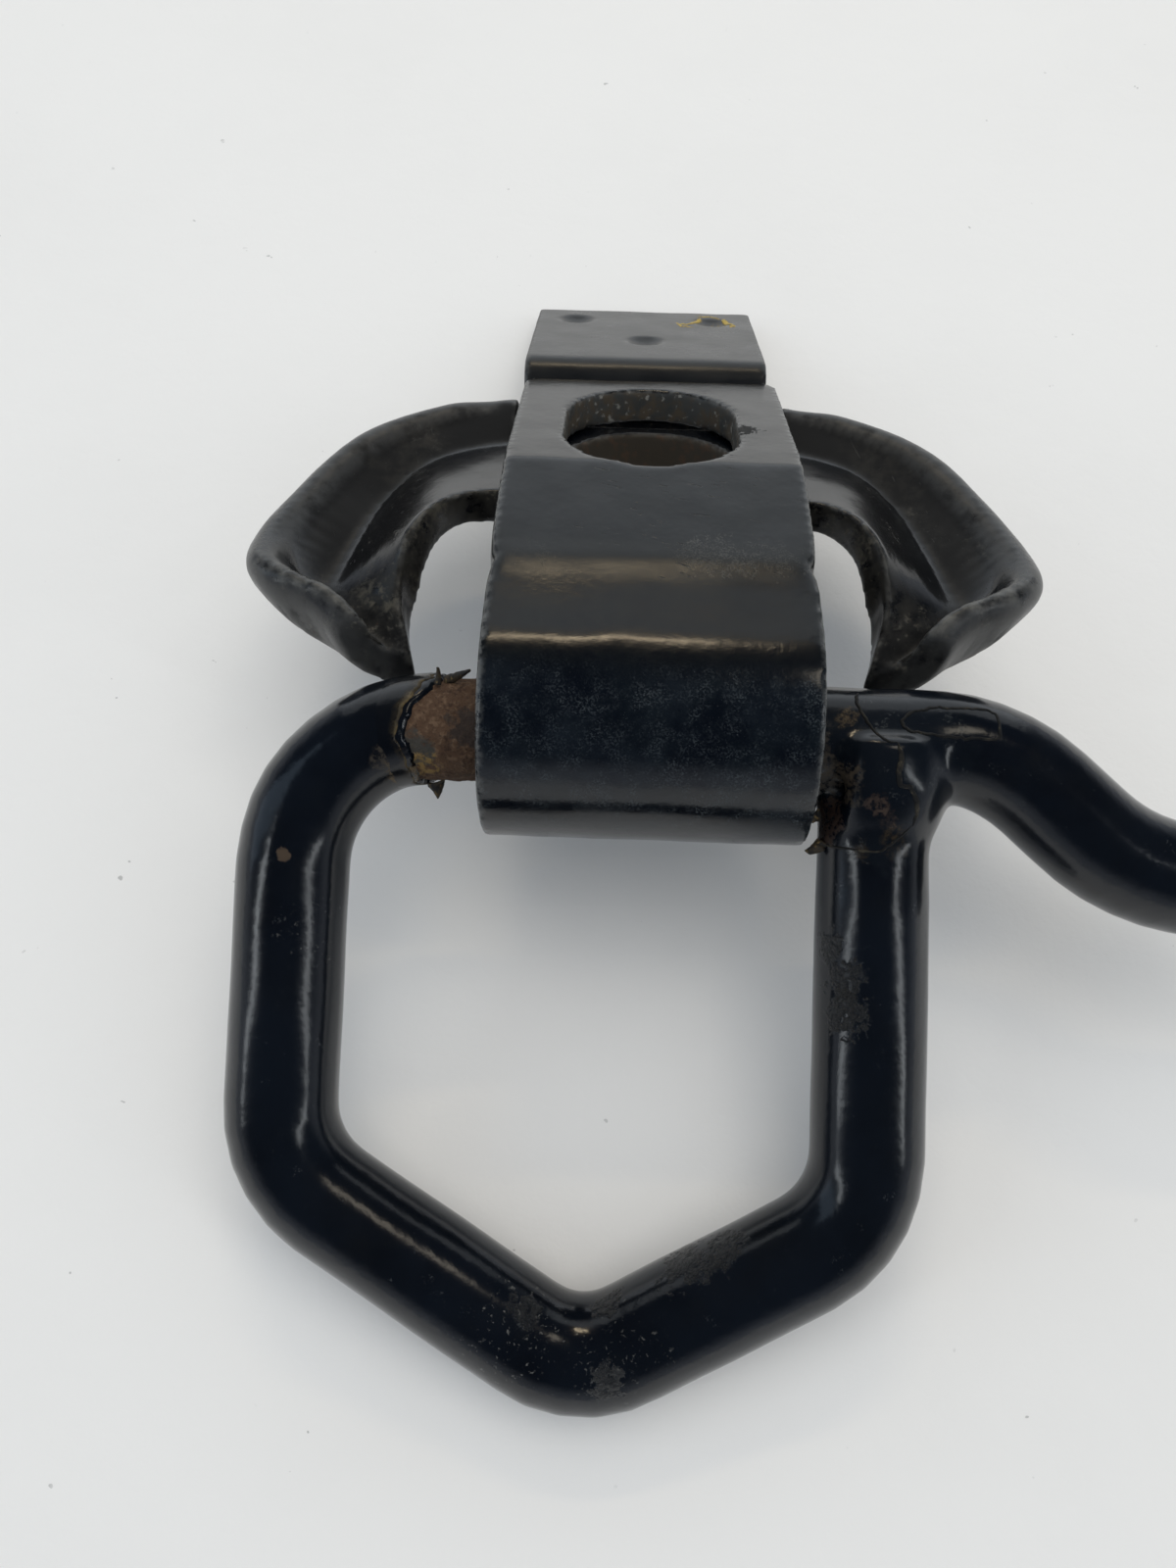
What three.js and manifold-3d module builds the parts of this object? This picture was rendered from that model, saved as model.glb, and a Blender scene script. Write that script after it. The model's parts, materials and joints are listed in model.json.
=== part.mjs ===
// Swivel hoist ring: a flat strap rolled into an eye, a cupped yoke and a tail
// plate welded to it, and a bent round-bar ring that swings in the eye.
// Millimetres, +Z up. The part lies as it is set down on a bench: the ring's
// point and the tail plate's rear edge are low, and the eye is high.
import * as THREE from 'three';
import { mergeVertices } from 'three/addons/utils/BufferGeometryUtils.js';
import Module from 'manifold-3d';

const wasm = await Module();
wasm.setup();

// ---- Driving dimensions --------------------------------------------------
const GAP = 0.3;                     // clearance between touching pieces

// Strap and its rolled eye
const STRAP_WIDTH = 40;
const STRAP_THICK = 5;
const SHELF_LENGTH = 39.4;           // flat top behind the bend
const SLOPE_LENGTH = 20;             // sloping part in front of the bend
const SLOPE_ANGLE = 15.8;            // degrees, falls towards the eye
const EYE_BORE = 10.8;               // radius inside the roll
const EYE_SINK = 1.4;                // eye's outside lies this far below the slope
const EYE_REACH = 24.3;              // slope's start to the eye's centre, along Y
const ROLL_START = 108;              // degrees, where the round of the eye starts
const ROLL_END = 55;                 // degrees, where the rolled end stops
const CREASE_RUN = 3.4;              // the crease's curve leads this far forward
const CREASE_FALL = 1.9;             // and this far down
const STRAP_CORNER = 2.2;            // far corners, seen from above
const NOTCH_RADIUS = 1.3;            // nicks in both edges at the crease

// Slot in the strap and round hole in the yoke below it, on one centre
const HOLE_BEHIND_BEND = 16.5;
const SLOT_WIDTH = 24.6;
const SLOT_LENGTH = 34.2;
const YOKE_HOLE_DIAMETER = 24.6;

// Yoke: sheet steel, dished, open towards the eye
const YOKE_THICK = 5;
const YOKE_FOLD = 3.2;               // inside radius between floor and wall
const YOKE_SHIFT = -0.9;             // its middle from the strap's
const YOKE_STEPS = 4;                // stations between two control sections
const LIP_DROP = 3.6;                // drawn lip of its hole, below the floor
const LIP_WALL = 2.4;
const LIP_TAPER = 0.8;
const SPACE_LENGTH = 120;            // room left for the strap, along Y
const SPACE_HEIGHT = 40;             // and up from the yoke's floor

// Tail plate
const TAIL_WIDTH = 39.2;
const TAIL_LENGTH = 38.6;
const TAIL_THICK = 4;
const TAIL_SHIFT = -0.7;             // its middle from the strap's
const TAIL_STEP = 2.3;               // its top above the strap's top
const TAIL_LEG = 9.5;                // height of the bent-down front edge
const TAIL_BEND = 4.6;               // outside radius of that bend
const DIMPLE_RADIUS = 3.3;
const DIMPLE_DEPTH = 0.9;
const DIMPLE_SPREAD = 12.2;          // rear dimples from the middle
const DIMPLE_REAR = 7.6;             // rear dimples from the rear edge
const DIMPLE_FRONT = 22.5;           // middle dimple from the rear edge

// Ring of round bar with an arm
const BAR_RADIUS = 7;                // with its coating
const RING_ROOM = 32.8;              // its side bars' centre lines over the strap's width
const RING_POINT = 78.2;             // eye bar's centre line to the sharp point
const POINT_OFFSET = 1.6;            // the point from the ring's middle
const SHOULDER_LEFT = 54.9;          // where the straight sides end
const SHOULDER_RIGHT = 59.2;
const TOP_CORNER_RADIUS = 17.5;
const SHOULDER_RADIUS = 14;
const POINT_RADIUS = 12.5;
const RING_SHIFT = -7.4;             // ring's centre from the strap's centre
const ARM_DROP = 15.8;               // arm's outer run below the eye bar
const ARM_SLOPE = 42;                // degrees, between its two bends
const ARM_FIRST_CORNER = 15.2;       // from the right side bar's centre line
const ARM_BEND_RADIUS = 22;
const ARM_RUN = 26;                  // second corner to the arm's end
const BAR_SIDES = 16;
const RING_STEPS = 108;
const BAR_BACK = -2.4;               // bar's centre from the eye's, along Y
const BAR_LOW = -0.9;                // and along Z, both in the rest position

// Weld beads
const BEAD_RADIUS = 1.5;
const COLLAR_THICK = 2.2;
const COLLAR_HEIGHT = 4.2;
const COLLAR_OPENING = 2;            // left open beside the eye, across X

// Rest position
const HANGER_TILT = -31.7;           // strap falls towards the tail
const RING_TILT = 20.2;              // ring falls towards its point

// ---- Values that follow from them ----------------------------------------
const rad = THREE.MathUtils.degToRad;
const eyeOuter = EYE_BORE + STRAP_THICK;
const slopeTan = Math.tan(rad(SLOPE_ANGLE));
const slopeCos = Math.cos(rad(SLOPE_ANGLE));
const slopeSin = Math.sin(rad(SLOPE_ANGLE));
// height of the slope's top line over the eye's centre, and so of the shelf
const shelfTop = (eyeOuter + EYE_SINK) / slopeCos + EYE_REACH * slopeTan;
const bendY = EYE_REACH;
const shelfEnd = bendY + SHELF_LENGTH;
const creaseY = bendY - SLOPE_LENGTH * slopeCos;
const creaseZ = shelfTop - SLOPE_LENGTH * slopeSin;
const holeY = bendY + HOLE_BEHIND_BEND;
const padTop = shelfTop - STRAP_THICK - GAP;
const ringWidth = STRAP_WIDTH + RING_ROOM;

// ---- Helpers ---------------------------------------------------------------
// A closed three.js geometry as a solid that can be cut
function solidOf(geometry) {
  const bare = geometry.clone();
  bare.deleteAttribute('normal');
  bare.deleteAttribute('uv');
  const merged = mergeVertices(bare, 1e-4);
  return new wasm.Manifold(new wasm.Mesh({
    numProp: 3,
    vertProperties: new Float32Array(merged.attributes.position.array),
    triVerts: new Uint32Array(merged.index.array),
  }));
}

function geometryOf(solid) {
  const mesh = solid.getMesh();
  const geometry = new THREE.BufferGeometry();
  geometry.setAttribute('position', new THREE.BufferAttribute(mesh.vertProperties, 3));
  geometry.setIndex(new THREE.BufferAttribute(mesh.triVerts, 1));
  geometry.computeVertexNormals();
  return geometry;
}

// An outline in the YZ plane, made width wide and centred on X = 0
function extrudeAcross(shape, width, curveSegments = 24) {
  const geometry = new THREE.ExtrudeGeometry(shape, {
    depth: width, bevelEnabled: false, curveSegments,
  });
  geometry.rotateX(Math.PI / 2);
  geometry.rotateZ(Math.PI / 2);
  geometry.translate(-width / 2, 0, 0);
  return geometry;
}

// An outline in the XY plane, made into a prism from low to high
function extrudeUp(shape, low, high, curveSegments = 16) {
  const geometry = new THREE.ExtrudeGeometry(shape, {
    depth: high - low, bevelEnabled: false, curveSegments,
  });
  geometry.translate(0, 0, low);
  return geometry;
}

function roundedRectangle(x0, x1, y0, y1, radius) {
  const shape = new THREE.Shape();
  shape.moveTo(x0, y0);
  shape.lineTo(x1, y0);
  shape.lineTo(x1, y1 - radius);
  shape.absarc(x1 - radius, y1 - radius, radius, 0, Math.PI / 2);
  shape.lineTo(x0 + radius, y1);
  shape.absarc(x0 + radius, y1 - radius, radius, Math.PI / 2, Math.PI);
  shape.closePath();
  return shape;
}

// A round rod along X
function beadAcross(radius, length, y, z) {
  const geometry = new THREE.CylinderGeometry(radius, radius, length, 12);
  geometry.rotateZ(Math.PI / 2);
  geometry.translate(0, y, z);
  return geometry;
}

// A straight-and-arc path through the corners, each with its own bend radius
function bentPath(corners) {
  const path = new THREE.CurvePath();
  let from = corners[0].at;
  for (let i = 1; i < corners.length - 1; i += 1) {
    const corner = corners[i].at;
    const back = corners[i - 1].at.clone().sub(corner).normalize();
    const ahead = corners[i + 1].at.clone().sub(corner).normalize();
    const half = back.angleTo(ahead) / 2;
    const reach = corners[i].radius / Math.tan(half);
    const start = corner.clone().addScaledVector(back, reach);
    const end = corner.clone().addScaledVector(ahead, reach);
    const middle = back.clone().add(ahead).normalize();
    const centre = corner.clone().addScaledVector(middle, corners[i].radius / Math.sin(half));
    path.add(new THREE.LineCurve3(from, start));
    path.add(new ArcCurve(centre, start, end));
    from = end;
  }
  path.add(new THREE.LineCurve3(from, corners[corners.length - 1].at));
  return path;
}

class ArcCurve extends THREE.Curve {
  constructor(centre, start, end) {
    super();
    this.centre = centre;
    this.from = start.clone().sub(centre);
    this.to = end.clone().sub(centre);
    this.angle = this.from.angleTo(this.to);
  }

  getPoint(t, target = new THREE.Vector3()) {
    const a = Math.sin((1 - t) * this.angle) / Math.sin(this.angle);
    const b = Math.sin(t * this.angle) / Math.sin(this.angle);
    return target.copy(this.centre).addScaledVector(this.from, a).addScaledVector(this.to, b);
  }
}

// A skin over rows of points that are all the same length, closed at both ends
function loft(rows) {
  const count = rows[0].length;
  const points = rows.flat();
  const index = [];
  for (let r = 0; r < rows.length - 1; r += 1) {
    for (let i = 0; i < count; i += 1) {
      const a = r * count + i;
      const b = r * count + (i + 1) % count;
      index.push(a, a + count, b, b, a + count, b + count);
    }
  }
  for (const [row, start] of [[rows[0], 0], [rows[rows.length - 1], points.length - count]]) {
    const origin = row[0];
    const across = row[Math.floor(count / 2)].clone().sub(origin).normalize();
    const normal = new THREE.Vector3();
    for (let i = 0; i < count; i += 1) {
      const next = row[(i + 1) % count];
      normal.add(row[i].clone().sub(origin).cross(next.clone().sub(origin)));
    }
    const up = normal.normalize().cross(across).normalize();
    const flat = row.map((p) => {
      const d = p.clone().sub(origin);
      return new THREE.Vector2(d.dot(across), d.dot(up));
    });
    for (const [a, b, c] of THREE.ShapeUtils.triangulateShape(flat, [])) {
      if (start === 0) index.push(start + a, start + b, start + c);
      else index.push(start + a, start + c, start + b);
    }
  }
  const geometry = new THREE.BufferGeometry().setFromPoints(points);
  geometry.setIndex(index);
  return geometry;
}

// ---- Materials ---------------------------------------------------------------
const blackCoat = { color: 0x101318, roughness: 0.35, metalness: 0.1 };
const dustyCoat = { color: 0x1a1a1a, roughness: 0.55, metalness: 0.1 };

function namedMesh(name, geometry, finish) {
  const mesh = new THREE.Mesh(geometry, new THREE.MeshStandardMaterial(finish));
  mesh.name = name;
  return mesh;
}

// ---- Strap ---------------------------------------------------------------------
// Side outline: shelf, slope, crease, and the roll that makes the eye
function strapOutline() {
  const rollStart = rad(ROLL_START);
  const bottom = shelfTop - STRAP_THICK;
  const halfTurn = Math.tan(rad(SLOPE_ANGLE / 2)) * STRAP_THICK;
  const underBend = bendY + halfTurn;
  const tuckY = creaseY + STRAP_THICK * slopeSin;
  const tuckZ = creaseZ - STRAP_THICK * slopeCos;
  const shape = new THREE.Shape();
  shape.moveTo(shelfEnd, shelfTop);
  shape.lineTo(bendY, shelfTop);
  shape.lineTo(creaseY, creaseZ);
  shape.quadraticCurveTo(
    creaseY - CREASE_RUN, creaseZ - CREASE_FALL,
    eyeOuter * Math.cos(rollStart), eyeOuter * Math.sin(rollStart),
  );
  shape.absarc(0, 0, eyeOuter, rollStart, rad(360 + ROLL_END), false);
  shape.lineTo(EYE_BORE * Math.cos(rad(ROLL_END)), EYE_BORE * Math.sin(rad(ROLL_END)));
  shape.absarc(0, 0, EYE_BORE, rad(360 + ROLL_END), rad(90), true);
  shape.lineTo(tuckY, tuckZ);
  shape.lineTo(underBend, bottom);
  shape.lineTo(shelfEnd, bottom);
  shape.closePath();
  return shape;
}

function hangerStrap() {
  const half = STRAP_WIDTH / 2;
  const body = solidOf(extrudeAcross(strapOutline(), STRAP_WIDTH, 40));
  const plan = roundedRectangle(-half, half, -2 * eyeOuter, shelfEnd, STRAP_CORNER);
  const slotRadius = SLOT_WIDTH / 2;
  const reach = SLOT_LENGTH / 2 - slotRadius;
  const slot = new THREE.Shape();
  slot.absarc(0, holeY + reach, slotRadius, 0, Math.PI);
  slot.absarc(0, holeY - reach, slotRadius, Math.PI, 2 * Math.PI);
  slot.closePath();
  let solid = body.intersect(solidOf(extrudeUp(plan, -2 * eyeOuter, 2 * shelfTop)));
  solid = solid.subtract(solidOf(extrudeUp(slot, padTop - YOKE_THICK, shelfTop + 5)));
  for (const side of [-1, 1]) {
    const notch = new THREE.CylinderGeometry(NOTCH_RADIUS, NOTCH_RADIUS, 3 * STRAP_THICK, 10);
    notch.rotateX(Math.PI / 2);
    notch.translate(side * (half + NOTCH_RADIUS * 0.35), creaseY, creaseZ);
    solid = solid.subtract(solidOf(notch));
  }
  return namedMesh('hanger_strap', geometryOf(solid), blackCoat);
}

// The bead that closes the roll touches the roll's outside and the slope's underside
function eyeWeld() {
  const fromCentre = eyeOuter + GAP + BEAD_RADIUS;
  const toUnderside = eyeOuter + EYE_SINK - STRAP_THICK - GAP - BEAD_RADIUS;
  const angle = rad(90 + SLOPE_ANGLE) - Math.acos(toUnderside / fromCentre);
  const bead = beadAcross(
    BEAD_RADIUS, STRAP_WIDTH - 2,
    fromCentre * Math.cos(angle), fromCentre * Math.sin(angle),
  );
  return namedMesh('eye_weld', bead, dustyCoat);
}

// ---- Yoke ------------------------------------------------------------------------
// Control sections of the right half, from the middle to the tip. Each has the
// floor's inner edge, the fold between floor and wall, and the wall's rim, as
// distances across, behind the strap's bend and below the strap's top.
const yokeSections = [
  { edge: [0, 1.6, 5.3], fold: [0, 22, 5.3], rim: [0, 29, 1.4] },
  { edge: [12, 1.6, 5.3], fold: [12, 22, 5.3], rim: [12, 28.8, 1.4] },
  { edge: [21.5, 1.4, 5.3], fold: [23, 21.4, 5.6], rim: [21.5, 28, 1.4] },
  { edge: [27, -2, 5.4], fold: [31.5, 17.5, 7], rim: [33, 24, 2.8] },
  { edge: [29.8, -5.6, 6.6], fold: [36.8, 11, 10], rim: [41.2, 17.4, 4.8] },
  { edge: [31.4, -8, 8.8], fold: [39.6, 3, 13], rim: [46.8, 7.4, 8.4] },
  { edge: [32, -9.8, 11.6], fold: [42, -3.6, 15.6], rim: [49.2, -2.8, 11] },
  { edge: [32, -11.4, 14.2], fold: [43.4, -8.4, 17], rim: [48.4, -9, 12] },
  { edge: [31.4, -13.2, 16.8], fold: [41.6, -12.2, 18], rim: [44.4, -12.8, 13] },
  { edge: [30.6, -15.2, 19], fold: [37.6, -14.8, 19.6], rim: [38.8, -15.4, 14.4] },
  { edge: [30, -17, 20.8], fold: [33.8, -17.2, 21.4], rim: [34.6, -17.8, 17] },
];

function yokePoint([across, behind, below], side) {
  return new THREE.Vector3(YOKE_SHIFT + side * across, bendY + behind, shelfTop - below);
}

// A sheet section from three points: floor, round fold, wall and a round rim
function yokeSection(edge, fold, rim) {
  const along = fold.clone().sub(edge).normalize();
  const wall = rim.clone().sub(fold);
  const up = wall.clone().addScaledVector(along, -wall.dot(along)).normalize();
  const flat = (p) => new THREE.Vector2(p.clone().sub(edge).dot(along), p.clone().sub(edge).dot(up));
  const f = flat(fold);
  const r = flat(rim);
  const wallAngle = Math.atan2(r.y - f.y, r.x - f.x);
  const reach = YOKE_FOLD * Math.tan(wallAngle / 2);
  const centre = new THREE.Vector2(f.x - reach, YOKE_FOLD);
  const rimLength = r.distanceTo(f);
  const wallDir = new THREE.Vector2(Math.cos(wallAngle), Math.sin(wallAngle));
  const wallIn = new THREE.Vector2(-wallDir.y, wallDir.x);
  const half = YOKE_THICK / 2;
  const crown = f.clone().addScaledVector(wallDir, rimLength).addScaledVector(wallIn, -half);
  const line = [];
  for (const t of [0, 0.35, 0.7]) line.push(new THREE.Vector2(centre.x * t, 0));
  for (let i = 0; i <= 4; i += 1) {
    const a = -Math.PI / 2 + wallAngle * i / 4;
    line.push(new THREE.Vector2(
      centre.x + YOKE_FOLD * Math.cos(a), centre.y + YOKE_FOLD * Math.sin(a),
    ));
  }
  for (let i = 0; i <= 6; i += 1) {
    const a = Math.PI * i / 6;
    line.push(crown.clone()
      .addScaledVector(wallIn, half * Math.cos(a))
      .addScaledVector(wallDir, half * Math.sin(a)));
  }
  for (let i = 4; i >= 0; i -= 1) {
    const a = -Math.PI / 2 + wallAngle * i / 4;
    const radius = YOKE_FOLD + YOKE_THICK;
    line.push(new THREE.Vector2(
      centre.x + radius * Math.cos(a), centre.y + radius * Math.sin(a),
    ));
  }
  for (const t of [0.7, 0.35, 0]) line.push(new THREE.Vector2(centre.x * t, -YOKE_THICK));
  return line.map((p) => edge.clone().addScaledVector(along, p.x).addScaledVector(up, p.y));
}

function yoke() {
  const stations = [];
  for (let i = yokeSections.length - 1; i > 0; i -= 1) stations.push([yokeSections[i], -1]);
  for (const section of yokeSections) stations.push([section, 1]);
  const curve = (key) => new THREE.CatmullRomCurve3(
    stations.map(([section, side]) => yokePoint(section[key], side)), false, 'centripetal',
  );
  const edge = curve('edge');
  const fold = curve('fold');
  const rim = curve('rim');
  const count = (stations.length - 1) * YOKE_STEPS;
  const rows = [];
  for (let i = 0; i <= count; i += 1) {
    const t = i / count;
    rows.push(yokeSection(edge.getPoint(t), fold.getPoint(t), rim.getPoint(t)));
  }
  const half = STRAP_WIDTH / 2 + GAP;
  const strapSpace = new THREE.BoxGeometry(2 * half, SPACE_LENGTH, SPACE_HEIGHT);
  strapSpace.translate(0, bendY + SHELF_LENGTH / 2, padTop + SPACE_HEIGHT / 2);
  const hole = new THREE.CylinderGeometry(
    YOKE_HOLE_DIAMETER / 2, YOKE_HOLE_DIAMETER / 2, 40, 40,
  );
  hole.rotateX(Math.PI / 2);
  hole.translate(0, holeY, padTop);
  const lipRadius = YOKE_HOLE_DIAMETER / 2 + LIP_WALL;
  const lipHeight = YOKE_THICK / 2 + LIP_DROP;
  const lip = new THREE.CylinderGeometry(lipRadius - LIP_TAPER, lipRadius, lipHeight, 40);
  lip.rotateX(-Math.PI / 2);
  lip.translate(0, holeY, padTop - YOKE_THICK - LIP_DROP + lipHeight / 2);
  const body = solidOf(loft(rows)).add(solidOf(lip));
  const solid = body.subtract(solidOf(strapSpace).add(solidOf(hole)));
  return namedMesh('cupped_yoke', geometryOf(solid), blackCoat);
}

// Fillet between the strap's underside and the yoke's front edge
function yokeWeld() {
  const y = bendY + yokeSections[0].edge[1] - GAP - BEAD_RADIUS;
  const z = shelfTop - STRAP_THICK - BEAD_RADIUS - 3 * GAP;
  return namedMesh('yoke_weld', beadAcross(BEAD_RADIUS, STRAP_WIDTH - 6, y, z), dustyCoat);
}

// ---- Tail plate ----------------------------------------------------------------------
function tailPlate() {
  const front = shelfEnd + GAP;
  const rear = front + TAIL_LENGTH;
  const top = shelfTop + TAIL_STEP;
  const inner = TAIL_BEND - TAIL_THICK;
  const shape = new THREE.Shape();
  shape.moveTo(rear, top);
  shape.lineTo(front + TAIL_BEND, top);
  shape.absarc(front + TAIL_BEND, top - TAIL_BEND, TAIL_BEND, Math.PI / 2, Math.PI, false);
  shape.lineTo(front, top - TAIL_LEG);
  shape.lineTo(front + TAIL_THICK, top - TAIL_LEG);
  shape.lineTo(front + TAIL_THICK, top - TAIL_BEND);
  shape.absarc(front + TAIL_BEND, top - TAIL_BEND, inner, Math.PI, Math.PI / 2, true);
  shape.lineTo(rear, top - TAIL_THICK);
  shape.closePath();
  let solid = solidOf(extrudeAcross(shape, TAIL_WIDTH, 6));
  const ball = (DIMPLE_RADIUS ** 2 + DIMPLE_DEPTH ** 2) / (2 * DIMPLE_DEPTH);
  const places = [
    [-DIMPLE_SPREAD, rear - DIMPLE_REAR],
    [DIMPLE_SPREAD, rear - DIMPLE_REAR],
    [0, rear - DIMPLE_FRONT],
  ];
  for (const [x, y] of places) {
    const points = [new THREE.Vector2(0, -DIMPLE_DEPTH)];
    for (let i = 1; i <= 4; i += 1) {
      const r = DIMPLE_RADIUS * i / 4;
      points.push(new THREE.Vector2(r, ball - DIMPLE_DEPTH - Math.sqrt(ball * ball - r * r)));
    }
    points.push(new THREE.Vector2(DIMPLE_RADIUS, 1), new THREE.Vector2(0, 1));
    const dimple = new THREE.LatheGeometry(points, 20);
    dimple.rotateX(Math.PI / 2);
    dimple.translate(x, y, top);
    solid = solid.subtract(solidOf(dimple));
  }
  const geometry = geometryOf(solid);
  geometry.translate(TAIL_SHIFT, 0, 0);
  return namedMesh('tail_plate', geometry, blackCoat);
}

// Fillet between the strap's underside and the tail plate's leg
function tailWeld() {
  const y = shelfEnd - BEAD_RADIUS;
  const z = shelfTop - STRAP_THICK - GAP - BEAD_RADIUS;
  return namedMesh('tail_weld', beadAcross(BEAD_RADIUS, TAIL_WIDTH - 4, y, z), dustyCoat);
}

// ---- Ring ---------------------------------------------------------------------------
// One bar: it starts under the top bar, goes down the right side, round the point,
// up the left side, through the eye, and on past its own start into the arm.
// Drawn flat, with the eye bar along X and the point towards -Y.
function ringPath() {
  const half = ringWidth / 2;
  const at = (x, down) => new THREE.Vector3(x, -down, 0);
  const firstCorner = half + ARM_FIRST_CORNER;
  const secondCorner = firstCorner + ARM_DROP / Math.tan(rad(ARM_SLOPE));
  return bentPath([
    { at: at(half, BAR_RADIUS + GAP) },
    { at: at(half, SHOULDER_RIGHT), radius: SHOULDER_RADIUS },
    { at: at(POINT_OFFSET, RING_POINT), radius: POINT_RADIUS },
    { at: at(-half, SHOULDER_LEFT), radius: SHOULDER_RADIUS },
    { at: at(-half, 0), radius: TOP_CORNER_RADIUS },
    { at: at(firstCorner, 0), radius: ARM_BEND_RADIUS },
    { at: at(secondCorner, ARM_DROP), radius: ARM_BEND_RADIUS },
    { at: at(secondCorner + ARM_RUN, ARM_DROP) },
  ]);
}

function ringBar() {
  const circle = new THREE.Shape();
  circle.absarc(0, 0, BAR_RADIUS, 0, 2 * Math.PI);
  const bar = new THREE.ExtrudeGeometry(circle, {
    steps: RING_STEPS, extrudePath: ringPath(), bevelEnabled: false,
    curveSegments: BAR_SIDES,
  });
  return namedMesh('ring_bar', bar, blackCoat);
}

// Collar of weld metal round the right side bar, saddled on the eye bar and left
// open on the side where the eye rubs
function ringWeld() {
  const inner = BAR_RADIUS + GAP;
  const outer = inner + COLLAR_THICK;
  const half = ringWidth / 2;
  const profile = [
    new THREE.Vector2(0, 0),
    new THREE.Vector2(outer, 0),
    new THREE.Vector2(outer, BAR_RADIUS - 1),
    new THREE.Vector2(inner + 0.5, BAR_RADIUS + COLLAR_HEIGHT),
    new THREE.Vector2(0, BAR_RADIUS + COLLAR_HEIGHT),
  ];
  const collar = new THREE.LatheGeometry(profile, 32);
  collar.rotateX(Math.PI);
  collar.translate(half, 0, 0);
  const eyeSide = new THREE.BoxGeometry(outer, 60, 60);
  eyeSide.translate(half + COLLAR_OPENING - inner - outer / 2, 0, 0);
  const sideBar = new THREE.CylinderGeometry(inner, inner, 60, 32);
  sideBar.translate(half, 0, 0);
  const topBar = new THREE.CylinderGeometry(inner + GAP / 2, inner + GAP / 2, 60, 30);
  topBar.rotateZ(Math.PI / 2);
  topBar.translate(half, 0, 0);
  const solid = solidOf(collar)
    .subtract(solidOf(sideBar).add(solidOf(topBar)).add(solidOf(eyeSide)));
  return namedMesh('ring_weld', geometryOf(solid), dustyCoat);
}

// ---- Assembly ------------------------------------------------------------------------
// The hanger's own origin is the eye's centre, and the ring's is on the eye bar.
const hanger = new THREE.Group();
hanger.add(hangerStrap(), eyeWeld(), yoke(), yokeWeld(), tailPlate(), tailWeld());
hanger.rotation.x = rad(HANGER_TILT);

const ring = new THREE.Group();
ring.add(ringBar(), ringWeld());
ring.rotation.x = rad(RING_TILT);
ring.position.set(RING_SHIFT, BAR_BACK, BAR_LOW);

const hoistRing = new THREE.Group();
hoistRing.add(hanger, ring);

// Stand it on Z = 0 with its box centred on the origin
const box = new THREE.Box3().setFromObject(hoistRing, true);
const middle = box.getCenter(new THREE.Vector3());
hoistRing.position.set(-middle.x, -middle.y, -box.min.z);
hoistRing.updateMatrixWorld(true);

export default hoistRing;
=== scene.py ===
# %% [markdown]
# # A swivel hoist ring in black dipped steel
# A flat strap is rolled into an eye at its front. A cupped yoke and a tail plate
# are welded under and behind it, and a bent round bar with one arm swings in the
# eye. Everything was dipped in a thick black coating that ran round each corner,
# and hard use has since scratched it, cracked it and torn it off one bit of bar.
#
# The exact solids come in as a fixed frame, in metres. Each gets a coat over it
# here, and then come the torn edges, the cracks, the rust and the dirt.

# %% Load the frame
import json
import math

import bpy
import numpy as np
from mathutils import Matrix, Vector, noise
from mathutils.bvhtree import BVHTree

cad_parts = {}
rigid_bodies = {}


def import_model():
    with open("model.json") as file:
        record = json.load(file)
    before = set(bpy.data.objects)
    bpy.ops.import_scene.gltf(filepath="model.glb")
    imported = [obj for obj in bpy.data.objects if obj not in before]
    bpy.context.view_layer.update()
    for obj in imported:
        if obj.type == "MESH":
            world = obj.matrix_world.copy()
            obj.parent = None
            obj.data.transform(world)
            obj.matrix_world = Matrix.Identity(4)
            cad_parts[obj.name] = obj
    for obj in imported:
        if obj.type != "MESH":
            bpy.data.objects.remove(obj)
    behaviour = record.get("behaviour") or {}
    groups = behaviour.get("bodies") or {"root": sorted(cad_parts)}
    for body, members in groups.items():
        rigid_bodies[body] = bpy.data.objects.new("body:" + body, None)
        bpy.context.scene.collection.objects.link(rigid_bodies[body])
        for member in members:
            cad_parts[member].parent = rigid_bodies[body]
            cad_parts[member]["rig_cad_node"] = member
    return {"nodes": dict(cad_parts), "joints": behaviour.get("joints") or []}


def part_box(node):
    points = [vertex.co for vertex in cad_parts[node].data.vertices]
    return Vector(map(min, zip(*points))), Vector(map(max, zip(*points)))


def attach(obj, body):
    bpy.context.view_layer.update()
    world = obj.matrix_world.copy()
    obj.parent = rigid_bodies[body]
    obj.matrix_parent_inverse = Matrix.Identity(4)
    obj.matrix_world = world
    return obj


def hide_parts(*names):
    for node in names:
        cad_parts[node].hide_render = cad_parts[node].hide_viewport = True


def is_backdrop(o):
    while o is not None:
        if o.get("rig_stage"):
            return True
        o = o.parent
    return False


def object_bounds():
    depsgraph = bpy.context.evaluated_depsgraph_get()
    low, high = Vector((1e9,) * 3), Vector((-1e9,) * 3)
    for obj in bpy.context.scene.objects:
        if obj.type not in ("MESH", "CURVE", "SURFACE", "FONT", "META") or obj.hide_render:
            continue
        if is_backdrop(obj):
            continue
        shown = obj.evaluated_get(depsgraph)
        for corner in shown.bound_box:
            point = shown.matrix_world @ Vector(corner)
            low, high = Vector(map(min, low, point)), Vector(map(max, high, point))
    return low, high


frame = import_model()
cad_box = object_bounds()
MM = 0.001
hinge = Vector(frame["joints"][0]["pos_m"])
print("nodes:", sorted(frame["nodes"]))
print("hinge at", [round(v / MM, 1) for v in hinge], "mm")

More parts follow.
